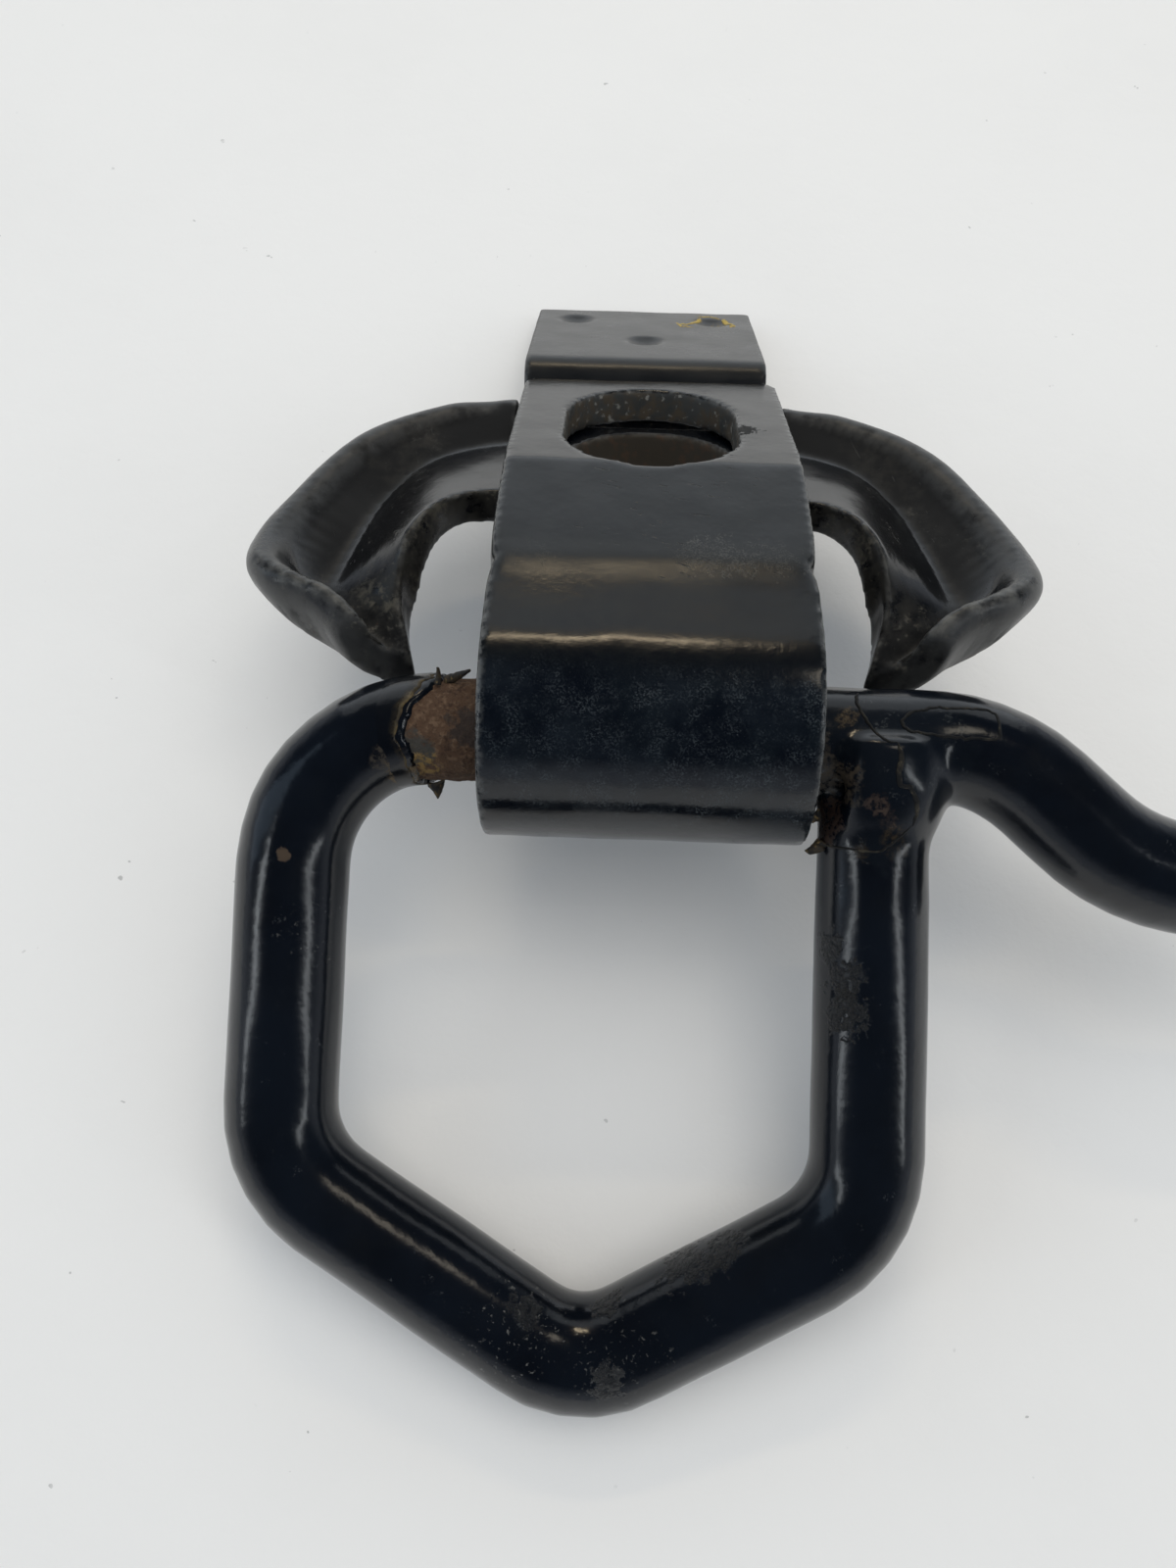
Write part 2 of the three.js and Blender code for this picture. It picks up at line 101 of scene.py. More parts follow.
# %% [markdown]
# ## Three frames of reference
# The ring leans forward and the strap leans back, both turned about the left-right
# axis. Marks are easier to place square to the piece that they are on, so each
# group gets a matrix from its own straight frame to the place where it lies.

# %% Frames of the ring and the strap
RING_TILT = math.radians(20.2)
STRAP_TILT = math.radians(-31.7)
strap_low, strap_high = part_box("hanger_strap")
strap_middle = (strap_low.x + strap_high.x) / 2
ring_frame = Matrix.Translation(hinge) @ Matrix.Rotation(RING_TILT, 4, "X")
strap_normal = Vector((0, -math.sin(STRAP_TILT), math.cos(STRAP_TILT)))
strap_back = Vector((0, math.cos(STRAP_TILT), math.sin(STRAP_TILT)))
up, back = np.array(strap_normal), np.array(strap_back)
YOKE_SHIFT = -0.9
SLOT_TOP = (37.394, 33.921)
slot_centre = np.array([strap_middle / MM, *SLOT_TOP])
print("strap middle at x =", round(strap_middle / MM, 1), "mm")


# %% Small helpers for objects
def only(piece):
    """Selects one piece and nothing else, and makes it the active one."""
    bpy.ops.object.select_all(action="DESELECT")
    piece.select_set(True)
    bpy.context.view_layer.objects.active = piece


def new_mesh(name, points, faces):
    """A mesh object made from points and faces."""
    mesh = bpy.data.meshes.new(name)
    mesh.from_pydata([tuple(p) for p in points], [], faces)
    mesh.update()
    piece = bpy.data.objects.new(name, mesh)
    bpy.context.collection.objects.link(piece)
    return piece


def apply_modifiers(piece):
    """Applies every modifier on a piece, in order."""
    only(piece)
    for modifier in list(piece.modifiers):
        bpy.ops.object.modifier_apply(modifier=modifier.name)


def face_out(piece):
    """Turns every face of a closed piece outward."""
    only(piece)
    bpy.ops.object.mode_set(mode="EDIT")
    bpy.ops.mesh.select_all(action="SELECT")
    bpy.ops.mesh.normals_make_consistent(inside=False)
    bpy.ops.object.mode_set(mode="OBJECT")


def read_points(piece):
    """The vertices of a piece as rows of x, y, z."""
    flat = np.zeros(len(piece.data.vertices) * 3)
    piece.data.vertices.foreach_get("co", flat)
    return flat.reshape(-1, 3)


def read_normals(piece):
    """The vertex normals of a piece as rows of x, y, z."""
    flat = np.zeros(len(piece.data.vertices) * 3)
    piece.data.vertex_normals.foreach_get("vector", flat)
    return flat.reshape(-1, 3)


def write_points(piece, points):
    """Puts changed vertices back into a piece."""
    piece.data.vertices.foreach_set("co", np.ascontiguousarray(points, dtype=float).ravel())
    piece.data.update()


def store(piece, name, values):
    """Keeps one number per vertex, for a material to read by name."""
    attribute = piece.data.attributes.new(name, "FLOAT", "POINT")
    attribute.data.foreach_set("value", np.clip(values, 0, 1).astype(np.float32))


def ramp(values, low, high):
    """0 below low, 1 above high, and a smooth step between."""
    t = np.clip((np.asarray(values) - low) / (high - low), 0, 1)
    return t * t * (3 - 2 * t)


# %% [markdown]
# ## The dipped coat
# On the real thing a thick plastic skin was pulled over every corner, so no edge is
# sharp. One could bevel the edges, but a bevel has trouble where many short faces
# meet. A voxel remesh followed by smoothing acts as the dip does: it keeps flat
# and round faces where they are and rounds every corner by about the same amount.
#
# Two masks are measured on the result. `edge` is high on outside corners, where
# the coat wears, and `hollow` is high in inside corners, where dirt stays and
# where the tail plate takes painted shade.

# %% Helpers for the coat
def measure_edges(piece, rounds):
    """Stores how far each point stands out of, or lies in, its surroundings."""
    points, normals = read_points(piece), read_normals(piece)
    ends = np.zeros(len(piece.data.edges) * 2, dtype=int)
    piece.data.edges.foreach_get("vertices", ends)
    a, b = ends.reshape(-1, 2).T
    count = np.bincount(a, minlength=len(points)) + np.bincount(b, minlength=len(points))
    around = points.copy()
    for _ in range(rounds):
        total = np.zeros_like(points)
        np.add.at(total, a, around[b])
        np.add.at(total, b, around[a])
        around = total / count[:, None]
    height = ((points - around) * normals).sum(1) / MM
    store(piece, "edge", ramp(height, 0.10, 0.42))
    store(piece, "hollow", ramp(-height, 0.04, 0.3))
    return height


def swell(piece, size, height, seed):
    """Moves the surface in and out a little, as a coat that ran before it set."""
    points, normals = read_points(piece), read_normals(piece)
    shift = Vector((seed, seed, seed))
    lift = [noise.noise(Vector(p) / size + shift) for p in points]
    write_points(piece, points + normals * (np.array(lift) * height)[:, None])


def coat(nodes, name, body, voxel, flow):
    """A dipped skin that stands for one solid of the frame, or for several as one."""
    copies = []
    for node in nodes:
        copy = bpy.data.objects.new(name, frame["nodes"][node].data.copy())
        bpy.context.collection.objects.link(copy)
        copies.append(copy)
    skin = copies[0]
    only(skin)
    for copy in copies[1:]:
        copy.select_set(True)
    if len(copies) > 1:
        bpy.ops.object.join()
    skin.data.materials.clear()
    only(skin)
    bpy.ops.object.mode_set(mode="EDIT")
    bpy.ops.mesh.select_all(action="SELECT")
    bpy.ops.mesh.remove_doubles(threshold=1e-6)
    bpy.ops.object.mode_set(mode="OBJECT")
    remesh = skin.modifiers.new("dip", "REMESH")
    remesh.mode = "VOXEL"
    remesh.voxel_size = voxel * MM
    smooth = skin.modifiers.new("flow", "SMOOTH")
    smooth.factor = 0.5
    smooth.iterations = flow
    apply_modifiers(skin)
    bpy.ops.object.shade_smooth()
    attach(skin, body)
    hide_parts(*nodes)
    return skin


def soften(piece, amounts, rounds):
    """Smooths a piece further where the amounts, from 0 to 1 at each point, say so."""
    group = piece.vertex_groups.new(name="soft")
    for level in range(1, 11):
        chosen = np.nonzero(np.round(amounts * 10) == level)[0]
        if len(chosen):
            group.add(chosen.tolist(), level / 10, "REPLACE")
    smooth = piece.modifiers.new("soften", "SMOOTH")
    smooth.factor = 0.5
    smooth.iterations = rounds
    smooth.vertex_group = "soft"
    apply_modifiers(piece)
    piece.vertex_groups.clear()


# %% Dip the strap, the yoke, the tail plate and the ring
strap = coat(["hanger_strap"], "strap_coat", "hanger", 0.5, 5)
yoke = coat(["cupped_yoke"], "yoke_coat", "hanger", 0.5, 6)
tail = coat(["tail_plate"], "tail_coat", "hanger", 0.45, 4)
ring = coat(["ring_bar", "ring_weld"], "ring_coat", "ring", 0.55, 5)
print("skins:", [(skin.name, len(skin.data.vertices)) for skin in (strap, yoke, tail, ring)])

# %% [markdown]
# ## Rounder rims, softer bends and a softer joint
# The yoke's outer rim was rolled round before the dip, the strap's bends have a
# small radius, and the weld where the side bar meets the eye bar is a smooth lump
# under its coat. All get more smoothing than the rest, held to the right place by
# a weight at each point. The rim is found by angle, as the outermost few
# millimetres of the yoke seen square on, and it is built up into a bead. The bead
# fades out towards the tips.

# %% Soften the rim of the yoke, the bends of the strap and the joint of the ring
UPPER_BEND, CREASE = (23.4, 42.6), (4.1, 48.1)
JOINT_CENTRE = (12.05, -19.5, 34.0)
MIDDLE_BEFORE_SLOT = 21
SECTORS = 180
RIM_BUILD = 0.7
points = read_points(yoke) / MM
yoke_middle = slot_centre + np.array([YOKE_SHIFT, 0, 0]) - MIDDLE_BEFORE_SLOT * back
right = (points - yoke_middle) @ np.array([1, 0, 0])
behind = (points - yoke_middle) @ back
reach = np.hypot(right, behind)
turn = (np.arctan2(behind, right) + math.pi) / (2 * math.pi)
sector = (turn * SECTORS).astype(int) % SECTORS
outermost = np.zeros(SECTORS)
np.maximum.at(outermost, sector, reach)
inward = outermost[sector] - reach
rim = ramp(inward, 6.0, 4.2) * ramp(np.abs(right), 21, 24)
soften(yoke, rim, 6)
bead = ramp(inward, 6.5, 3.0) * ramp(np.abs(right), 23, 30) * ramp(points[:, 1], -1, 6)
thicker = bead * RIM_BUILD * MM
write_points(yoke, read_points(yoke) + read_normals(yoke) * thicker[:, None])
soften(yoke, rim, 2)
store(yoke, "rim", rim)
points = read_points(strap) / MM
for bend, rounds in ((UPPER_BEND, 10), (CREASE, 24)):
    away = np.linalg.norm(points[:, 1:] - np.array(bend), axis=1)
    soften(strap, ramp(away, 4.5, 2.0), rounds)
store(strap, "crease", ramp(away, 4.2, 2.2))
points = read_points(ring) / MM
soften(ring, ramp(np.linalg.norm(points - np.array(JOINT_CENTRE), axis=1), 16, 11), 60)
for skin, size, lift, seed in (
    (strap, 6, 0.08, 3.0), (yoke, 8, 0.14, 7.0), (tail, 6, 0.06, 11.0), (ring, 9, 0.12, 17.0),
):
    swell(skin, size * MM, lift * MM, seed)
    height = measure_edges(skin, 8)
    print(skin.name, "stands out up to", round(height.max(), 2), "mm")

# %% [markdown]
# ## Where the coat has gone
# Just left of the eye the coat is torn off the bar down to rusty steel. The skin is
# drawn in there, under the radius of the steel, and the steel itself is a piece of
# its own. The line where the coat ends wanders round the bar, so it is written as
# a sum of waves of the angle, with the bulge that faces the front.

# %% The torn line and the bare zone
BARE_RADIUS = 6.5
BARE_RIGHT = 0.0
DRAWN_RADIUS = 6.0
BEND_START = -18.9
BEND_RADIUS = 17.5
FRONT_TURN = math.radians(58)


def torn_line(angle):
    """Where the coat ends, in mm along the bar; the angle is zero at the front top."""
    bulge = -19.0 - 4.2 * max(0.0, math.cos(angle * 1.02)) ** 0.7
    waves = 0.34 * math.sin(5 * angle + 0.7) + 0.14 * math.sin(11 * angle + 2.1)
    return bulge + waves + 0.09 * math.sin(23 * angle)


def bar_place(along, radius, angle):
    """A point near the eye bar, which starts to bend forward at its left end."""
    turn = FRONT_TURN - angle
    bend = max(0.0, (BEND_START - along) / BEND_RADIUS)
    centre = Vector((
        max(along, BEND_START) - BEND_RADIUS * math.sin(bend), -BEND_RADIUS * (1 - math.cos(bend)), 0,
    ))
    front = Vector((math.sin(bend), -math.cos(bend), 0))
    local = centre + (front * math.cos(turn) + Vector((0, 0, 1)) * math.sin(turn)) * radius
    return ring_frame @ (local * MM)


def bar_coordinates(points):
    """The same the other way: mm along the bar, radius and angle for each point."""
    to_ring = np.array(ring_frame.inverted())
    local = (points @ to_ring[:3, :3].T + to_ring[:3, 3]) / MM
    x, y, z = local.T
    bent = x < BEND_START
    swing = np.arctan2(BEND_START - x, y + BEND_RADIUS)
    along = np.where(bent, BEND_START - BEND_RADIUS * swing, x)
    front = np.where(bent, BEND_RADIUS - np.hypot(BEND_START - x, y + BEND_RADIUS), -y)
    angle = (FRONT_TURN - np.arctan2(z, front) + math.pi) % (2 * math.pi) - math.pi
    return along, np.hypot(front, z), angle


# %% Draw the ring's coat in under the bare steel
points = read_points(ring)
along, reach, angle = bar_coordinates(points)
line = np.array([torn_line(v) for v in angle])
inside = ramp(along - line, 0.9, 1.5) * ramp(BARE_RIGHT - along, 0, 0.8) * (reach < 8)
for i in np.nonzero(inside)[0]:
    drawn = reach[i] + (DRAWN_RADIUS - reach[i]) * inside[i]
    points[i] = bar_place(along[i], drawn, angle[i])
write_points(ring, points)
print("bare zone takes in", int((inside > 0).sum()), "points of the ring")

# %% [markdown]
# ## The bare steel
# A length of bar, turned rusty: a cylinder cut into short rings, then roughened by
# moving its points with two sizes of noise, large for the pitted patches and
# small for the grain of the scale. It follows the bar where that starts to bend.

# %% Rusty bar
bpy.ops.object.select_all(action="DESELECT")
BARE_LEFT = -27.0
BARE_END = 1.0
CUT = 0.3
bpy.ops.mesh.primitive_cylinder_add(
    vertices=144, radius=BARE_RADIUS, depth=BARE_END - BARE_LEFT,
    location=((BARE_LEFT + BARE_END) / 2, 0, 0), rotation=(0, math.pi / 2, 0),
)
bare = bpy.context.object
bare.name = "bare_steel"
bpy.ops.object.transform_apply(location=True, rotation=True, scale=True)
for cut in np.arange(BARE_LEFT + CUT, BARE_END, CUT):
    bpy.ops.object.mode_set(mode="EDIT")
    bpy.ops.mesh.select_all(action="SELECT")
    bpy.ops.mesh.bisect(plane_co=(cut, 0, 0), plane_no=(1, 0, 0))
    bpy.ops.object.mode_set(mode="OBJECT")
points = read_points(bare)
for i, (x, y, z) in enumerate(points):
    angle = FRONT_TURN - math.atan2(z, -y)
    place = bar_place(x, BARE_RADIUS, angle)
    lift = 0.16 * noise.noise(place * 700) + 0.09 * noise.noise(place * 2100)
    points[i] = bar_place(x, math.hypot(y, z) + lift, angle)
write_points(bare, points)
face_out(bare)
bpy.ops.object.shade_smooth_by_angle(angle=math.radians(50))
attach(bare, "ring")
print("bare steel:", len(bare.data.polygons), "faces")

# %% [markdown]
# ## The torn lip
# The coat's broken edge is about half a millimetre thick and curls up in places. It
# is a thin band laid on the coat along the torn line, from flush with the coat, up
# over the lip, and down to the steel. A grid bent by hand would do for one short
# edge, but this one goes right round the bar, so the rows are made from the line.

# %% Torn lip round the bar
LIP_STEPS = 360
CURL_HEIGHT = 0.28
CURL_LENGTH = 1.4
LIP_SHAPE = [  # mm back from the torn line, radius
    (5.0, 6.80), (3.6, 6.94), (2.4, 7.01), (1.2, 7.06), (0.35, 7.10), (-0.10, 6.98),
    (-0.18, 6.72), (0.05, 6.35), (1.2, 6.2), (5.0, 6.2),
]
lip_points = []
for i in range(LIP_STEPS):
    angle = -math.pi + 2 * math.pi * i / LIP_STEPS
    start = torn_line(angle)
    round_bar = Vector((math.cos(angle) * 2.2, math.sin(angle) * 2.2, 5))
    curl = max(0.0, noise.noise(round_bar)) * CURL_HEIGHT
    for behind, radius in LIP_SHAPE:
        rise = curl * max(0.0, 1 - behind / CURL_LENGTH) if radius > BARE_RADIUS else 0.0
        lip_points.append(bar_place(start - behind, radius + rise, angle))
across = len(LIP_SHAPE)
lip_faces = []
for i in range(LIP_STEPS):
    for k in range(across):
        a, b = i * across + k, i * across + (k + 1) % across
        after = (i + 1) % LIP_STEPS * across
        lip_faces.append((a, b, after + (k + 1) % across, after + k))
lip = new_mesh("torn_lip", lip_points, lip_faces)
face_out(lip)
bpy.ops.object.shade_smooth_by_angle(angle=math.radians(60))
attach(lip, "ring")
print("torn lip:", len(lip.data.polygons), "faces")

# %% [markdown]
# ## Flakes of coat
# A few shreds still hang on: a spike and a long curled shred over the bar, one
# pointing down in front, and one at the welded joint. Each is a fine grid that is
# cut to a ragged taper, bent along its length, and given the thickness of the coat.

# %% Flakes
COAT_THICK = 0.28


def flake(name, root, direction, up, length, width, curl, seed):
    """A shred of coat: rooted at a point, running in a direction, curling up."""
    along = Vector(direction).normalized()
    up = (Vector(up) - along * Vector(up).dot(along)).normalized()
    across = along.cross(up)
    bpy.ops.object.select_all(action="DESELECT")
    bpy.ops.mesh.primitive_grid_add(x_subdivisions=22, y_subdivisions=6, size=1)
    piece = bpy.context.object
    piece.name = name
    points = read_points(piece)
    placed = []
    for x, y, _ in points:
        t = x + 0.5
        taper = (1 - t ** 1.6) * (1 + 0.35 * noise.noise(Vector((t * 7, seed, y * 2))))
        bend = curl * t
        reach_out = math.sin(bend) / curl if abs(curl) > 0.01 else t
        rise = (1 - math.cos(bend)) / curl if abs(curl) > 0.01 else 0
        rough = 0.03 * noise.noise(Vector((t * 9, y * 5, seed)))
        sag = -0.35 * (2 * y) ** 2 * width
        placed.append(
            Vector(root) + (along * reach_out + up * (rise + rough)) * length * MM
            + across * y * width * taper * MM + up * sag * MM
        )
    write_points(piece, np.array([tuple(p) for p in placed]))
    wall = piece.modifiers.new("wall", "SOLIDIFY")
    wall.thickness = COAT_THICK * MM
    wall.offset = 0
    finish = piece.modifiers.new("finish", "SUBSURF")
    finish.levels = finish.render_levels = 1
    apply_modifiers(piece)
    face_out(piece)
    bpy.ops.object.shade_smooth()
    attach(piece, "ring")
    return piece


flakes = [
    flake("flake_spike", bar_place(-18.6, 6.9, -1.35), (0.15, 0.75, 0.55), (-0.3, 0, 1), 2.3, 0.9, 0.5, 1),
    flake("flake_shred", bar_place(-17.8, 6.8, -1.5), (0.93, 0.35, 0.2), (0, -0.5, 1), 4.0, 1.3, 0.7, 2),
    flake("flake_front", bar_place(-19.4, 6.9, 1.05), (0.25, -0.55, -0.8), (0, -1, 0.4), 2.2, 2.6, 0.5, 3),
    flake("flake_joint", Vector((5.0, -24.9, 30.8)) * MM,
          (-0.55, -0.75, -0.35), (-1, 0, 0.4), 2.4, 2.8, 0.6, 4),
    flake("flake_joint_small", Vector((5.0, -22.8, 32.6)) * MM,
          (-0.9, -0.3, 0.1), (0, -1, 0.5), 1.5, 2.0, 0.8, 5),
]
print("flakes:", [piece.name for piece in flakes])

# %% [markdown]
# ## Lines that follow the surface
# Cracks in the coat, the rim of a patch and dabs of paint are thin things that
# follow a curved surface. Each is drawn as a few points seen from the front and
# above, dropped on the surface along that line of sight, and given a flat oval
# section that stands a little out of the coat.

# %% Draw a line on a surface
SIGHT = Vector((0.02, 0.407, -0.913)).normalized()
SIGHT_START = 30
LINE_SIDES = 8
WOBBLE_SEED = 1795084660
noise.seed_set(WOBBLE_SEED)  # the drawn lines wobble in the same way each run


def surface_of(piece):
    """A search tree over a piece's faces."""
    faces = [tuple(polygon.vertices) for polygon in piece.data.polygons]
    return BVHTree.FromPolygons([v.co for v in piece.data.vertices], faces)


def smooth_path(points, closed, steps, wobble, seed):
    """Points in between, on a curve through the given ones, with a slight wobble."""
    count = len(points)
    path = []
    for i in range(count if closed else count - 1):
        if closed:
            p = [Vector(points[(i + k) % count]) for k in (-1, 0, 1, 2)]
        else:
            p = [Vector(points[min(max(i + k, 0), count - 1)]) for k in (-1, 0, 1, 2)]
        for j in range(steps):
            t = j / steps
            place = 0.5 * (
                2 * p[1] + (p[2] - p[0]) * t + (2 * p[0] - 5 * p[1] + 4 * p[2] - p[3]) * t * t
                + (3 * p[1] - p[0] - 3 * p[2] + p[3]) * t ** 3
            )
            place += wobble * noise.noise_vector(place * 1.7 + Vector((seed, 0, 0)))
            path.append(place)
    if not closed:
        path.append(Vector(points[-1]))
    return path


def line_on(name, trees, points, width, height, closed=False, wobble=0.15, seed=1, steps=6):
    """A raised line on a surface; points in mm, and widths in mm."""
    rows = []
    for place in smooth_path(points, closed, steps, wobble, seed):
        start = place * MM - SIGHT * SIGHT_START * MM
        hits = [tree.ray_cast(start, SIGHT) for tree in trees]
        hits = [hit for hit in hits if hit[0] is not None]
        if hits:
            rows.append(min(hits, key=lambda hit: hit[3])[:2])
    sides = LINE_SIDES
    verts, faces = [], []
    count = len(rows)
    for i, (place, normal) in enumerate(rows):
        after = rows[(i + 1) % count][0] if closed or i + 1 < count else place
        before = rows[i - 1][0] if closed or i else place
        across = (after - before).normalized().cross(normal)
        ends = 1.0 if closed else min(1.0, 0.25 + min(i, count - 1 - i) / 4)
        size = ends * (1 + 0.35 * noise.noise(place * 900))
        for k in range(sides):
            angle = 2 * math.pi * k / sides
            verts.append(
                place + across * math.cos(angle) * width / 2 * MM * size
                + normal * (math.sin(angle) * height * MM * size)
            )
    for i in range(count if closed else count - 1):
        for k in range(sides):
            a, b = i * sides + k, i * sides + (k + 1) % sides
            c, d = ((i + 1) % count) * sides + (k + 1) % sides, ((i + 1) % count) * sides + k
            faces.append((a, b, c, d))
    if not closed:
        faces.append(tuple(range(sides))[::-1])
        faces.append(tuple((count - 1) * sides + k for k in range(sides)))
    piece = new_mesh(name, verts, faces)
    face_out(piece)
    bpy.ops.object.shade_smooth()
    return piece


# %% Cracks round the welded joint, and the patch on the arm
ring_trees = [surface_of(ring)]
tail_trees = [surface_of(tail)]
cracks = [
    line_on("crack_top", ring_trees, [
        (9.0, -8.2, 38), (8.6, -10.7, 40), (9.4, -12.6, 40), (9.9, -13.6, 40),
        (11.2, -15.9, 41), (12.7, -16.7, 42),
    ], 0.42, 0.13, seed=2),
    line_on("crack_side", ring_trees, [
        (12.7, -16.7, 42), (13.2, -18.5, 41), (12.8, -20.0, 41), (13.1, -21.3, 40),
        (14.3, -21.7, 40), (15.2, -22.8, 39), (15.5, -24.0, 38), (15.1, -25.3, 37),
    ], 0.62, 0.20, seed=3),
    line_on("crack_foot", ring_trees, [
        (15.1, -25.3, 37), (13.3, -26.7, 36), (11.3, -27.9, 35), (9.0, -27.9, 35),
        (7.4, -27.3, 34), (5.6, -25.8, 31),
    ], 0.34, 0.10, seed=4),
    line_on("patch_rim", ring_trees, [
        (14.9, -11.7, 40), (17.1, -11.0, 40), (19.4, -10.8, 40), (22.0, -10.8, 40),
        (24.9, -11.0, 40), (25.6, -12.4, 40), (25.3, -14.7, 40), (22.5, -14.9, 40),
        (19.3, -14.7, 40), (16.8, -14.5, 40), (14.6, -14.1, 40), (13.9, -13.0, 40),
    ], 0.42, 0.12, closed=True, wobble=0.25, seed=6),
]
for crack in cracks:
    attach(crack, "ring")

# %% Paint dabs round one dimple of the tail plate
dabs = [
    line_on("paint_dab_left", tail_trees, [
        (-11.6, 82.6, 9), (-9.6, 83.4, 8), (-8.2, 85.0, 7), (-7.4, 87.2, 6),
    ], 0.75, 0.07, wobble=0.5, seed=12),
    line_on("paint_dab_foot", tail_trees, [(-11.9, 83.6, 9), (-10.9, 81.8, 9), (-8.9, 81.6, 9)],
            0.55, 0.06, wobble=0.4, seed=13),
    line_on("paint_dab_top", tail_trees, [(-7.9, 88.2, 5), (-5.4, 88.6, 5), (-3.6, 87.6, 5)],
            0.45, 0.06, wobble=0.4, seed=14),
    line_on("paint_dab_right", tail_trees, [
        (-3.4, 87.2, 6), (-2.7, 85.4, 7), (-1.6, 83.4, 8), (-2.2, 81.9, 9),
    ], 0.85, 0.07, wobble=0.5, seed=15),
]
for dab in dabs:
    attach(dab, "hanger")
print("lines:", [piece.name for piece in cracks + dabs])

# %% [markdown]
# ## Effects that the finishes share
# Three effects turn up on nearly every piece, so each is built once as a node group
# that gives a mask from 0 to 1: dust in fine specks, fine scratches that run one
# way, and a ragged spot at one place.

# %% Node helpers
def add(tree, kind, **settings):
    """A shader node with some of its properties set."""
    made = tree.nodes.new("ShaderNode" + kind)
    for key, value in settings.items():
        setattr(made, key, value)
    return made


def math_node(tree, operation, a, b=0.0, clamp=False):
    """A Math node; a and b are numbers or sockets. Gives its output."""
    made = add(tree, "Math", operation=operation, use_clamp=clamp)
    for socket, value in zip(made.inputs, (a, b)):
        if isinstance(value, bpy.types.NodeSocket):
            tree.links.new(value, socket)
        else:
            socket.default_value = value
    return made.outputs[0]


def step_node(tree, value, low, high):
    """0 below low and 1 above high. Gives its output."""
    made = add(tree, "MapRange", interpolation_type="SMOOTHSTEP")
    tree.links.new(value, made.inputs["Value"])
    for key, bound in (("From Min", low), ("From Max", high)):
        if isinstance(bound, bpy.types.NodeSocket):
            tree.links.new(bound, made.inputs[key])
        else:
            made.inputs[key].default_value = bound
    return made.outputs["Result"]


def noise_node(tree, place, scale, detail=4.0, rough=0.6):
    """A noise texture; scale is a number or a socket. Gives its output."""
    made = add(tree, "TexNoise")
    tree.links.new(place, made.inputs["Vector"])
    if isinstance(scale, bpy.types.NodeSocket):
        tree.links.new(scale, made.inputs["Scale"])
    else:
        made.inputs["Scale"].default_value = scale
    made.inputs["Detail"].default_value = detail
    made.inputs["Roughness"].default_value = rough
    return made.outputs[0]


def start_group(name, inputs):
    """A node group with a mask for output, and its input sockets by name."""
    tree = bpy.data.node_groups.new(name, "ShaderNodeTree")
    for key, (kind, value) in inputs.items():
        socket = tree.interface.new_socket(key, in_out="INPUT", socket_type=kind)
        socket.default_value = value
    tree.interface.new_socket("Mask", in_out="OUTPUT", socket_type="NodeSocketFloat")
    entry = tree.nodes.new("NodeGroupInput")
    return tree, entry.outputs


def end_group(tree, mask):
    """Joins the finished mask to the group's output."""
    leave = tree.nodes.new("NodeGroupOutput")
    tree.links.new(mask, leave.inputs["Mask"])
    return tree


VECTOR, NUMBER = "NodeSocketVector", "NodeSocketFloat"


# %% Dust, scratches and spots
tree, given = start_group("dust", {
    "Place": (VECTOR, (0, 0, 0)), "Scale": (NUMBER, 900.0), "Amount": (NUMBER, 0.5),
})
fine = noise_node(tree, given["Place"], given["Scale"], 5.0, 0.7)
wide = noise_node(tree, given["Place"], math_node(tree, "MULTIPLY", given["Scale"], 0.11), 3.0, 0.6)
level = math_node(tree, "SUBTRACT", 0.98, math_node(tree, "MULTIPLY", given["Amount"], 0.55))
fine_part = math_node(tree, "MULTIPLY", fine, 0.55)
wide_part = math_node(tree, "MULTIPLY", wide, 0.6)
sum_of = math_node(tree, "ADD", fine_part, wide_part)
dust_group = end_group(tree, step_node(tree, sum_of, level, math_node(tree, "ADD", level, 0.11)))

tree, given = start_group("scratches", {
    "Place": (VECTOR, (0, 0, 0)), "Turn": (VECTOR, (0, 0, 0)), "Amount": (NUMBER, 0.5),
})
layers = []
for turn, stretch in ((0.0, (150, 2600, 2600)), (1.1, (260, 1900, 1900))):
    spin = add(tree, "Mapping")
    tree.links.new(given["Place"], spin.inputs["Vector"])
    tree.links.new(given["Turn"], spin.inputs["Rotation"])
    second = add(tree, "Mapping")
    tree.links.new(spin.outputs[0], second.inputs["Vector"])
    second.inputs["Rotation"].default_value = (0, 0, turn)
    second.inputs["Scale"].default_value = stretch
    layers.append(noise_node(tree, second.outputs[0], 1.0, 2.0, 0.5))
both = math_node(tree, "MAXIMUM", layers[0], layers[1])
level = math_node(tree, "SUBTRACT", 0.86, math_node(tree, "MULTIPLY", given["Amount"], 0.26))
scratch_group = end_group(tree, step_node(tree, both, level, math_node(tree, "ADD", level, 0.05)))

tree, given = start_group("spot", {
    "Place": (VECTOR, (0, 0, 0)), "Centre": (VECTOR, (0, 0, 0)),
    "Radius": (NUMBER, 0.003), "Ragged": (NUMBER, 0.5), "Scale": (NUMBER, 700.0),
})
gap = add(tree, "VectorMath", operation="DISTANCE")
tree.links.new(given["Place"], gap.inputs[0])
tree.links.new(given["Centre"], gap.inputs[1])
apart = math_node(tree, "DIVIDE", gap.outputs["Value"], given["Radius"])
edge_noise = math_node(tree, "SUBTRACT", noise_node(tree, given["Place"], given["Scale"], 4.0, 0.65), 0.5)
raggedness = math_node(tree, "MULTIPLY", given["Ragged"], 5.0)
uneven = math_node(tree, "ADD", apart, math_node(tree, "MULTIPLY", edge_noise, raggedness))
outside = step_node(tree, uneven, 0.7, 1.1)
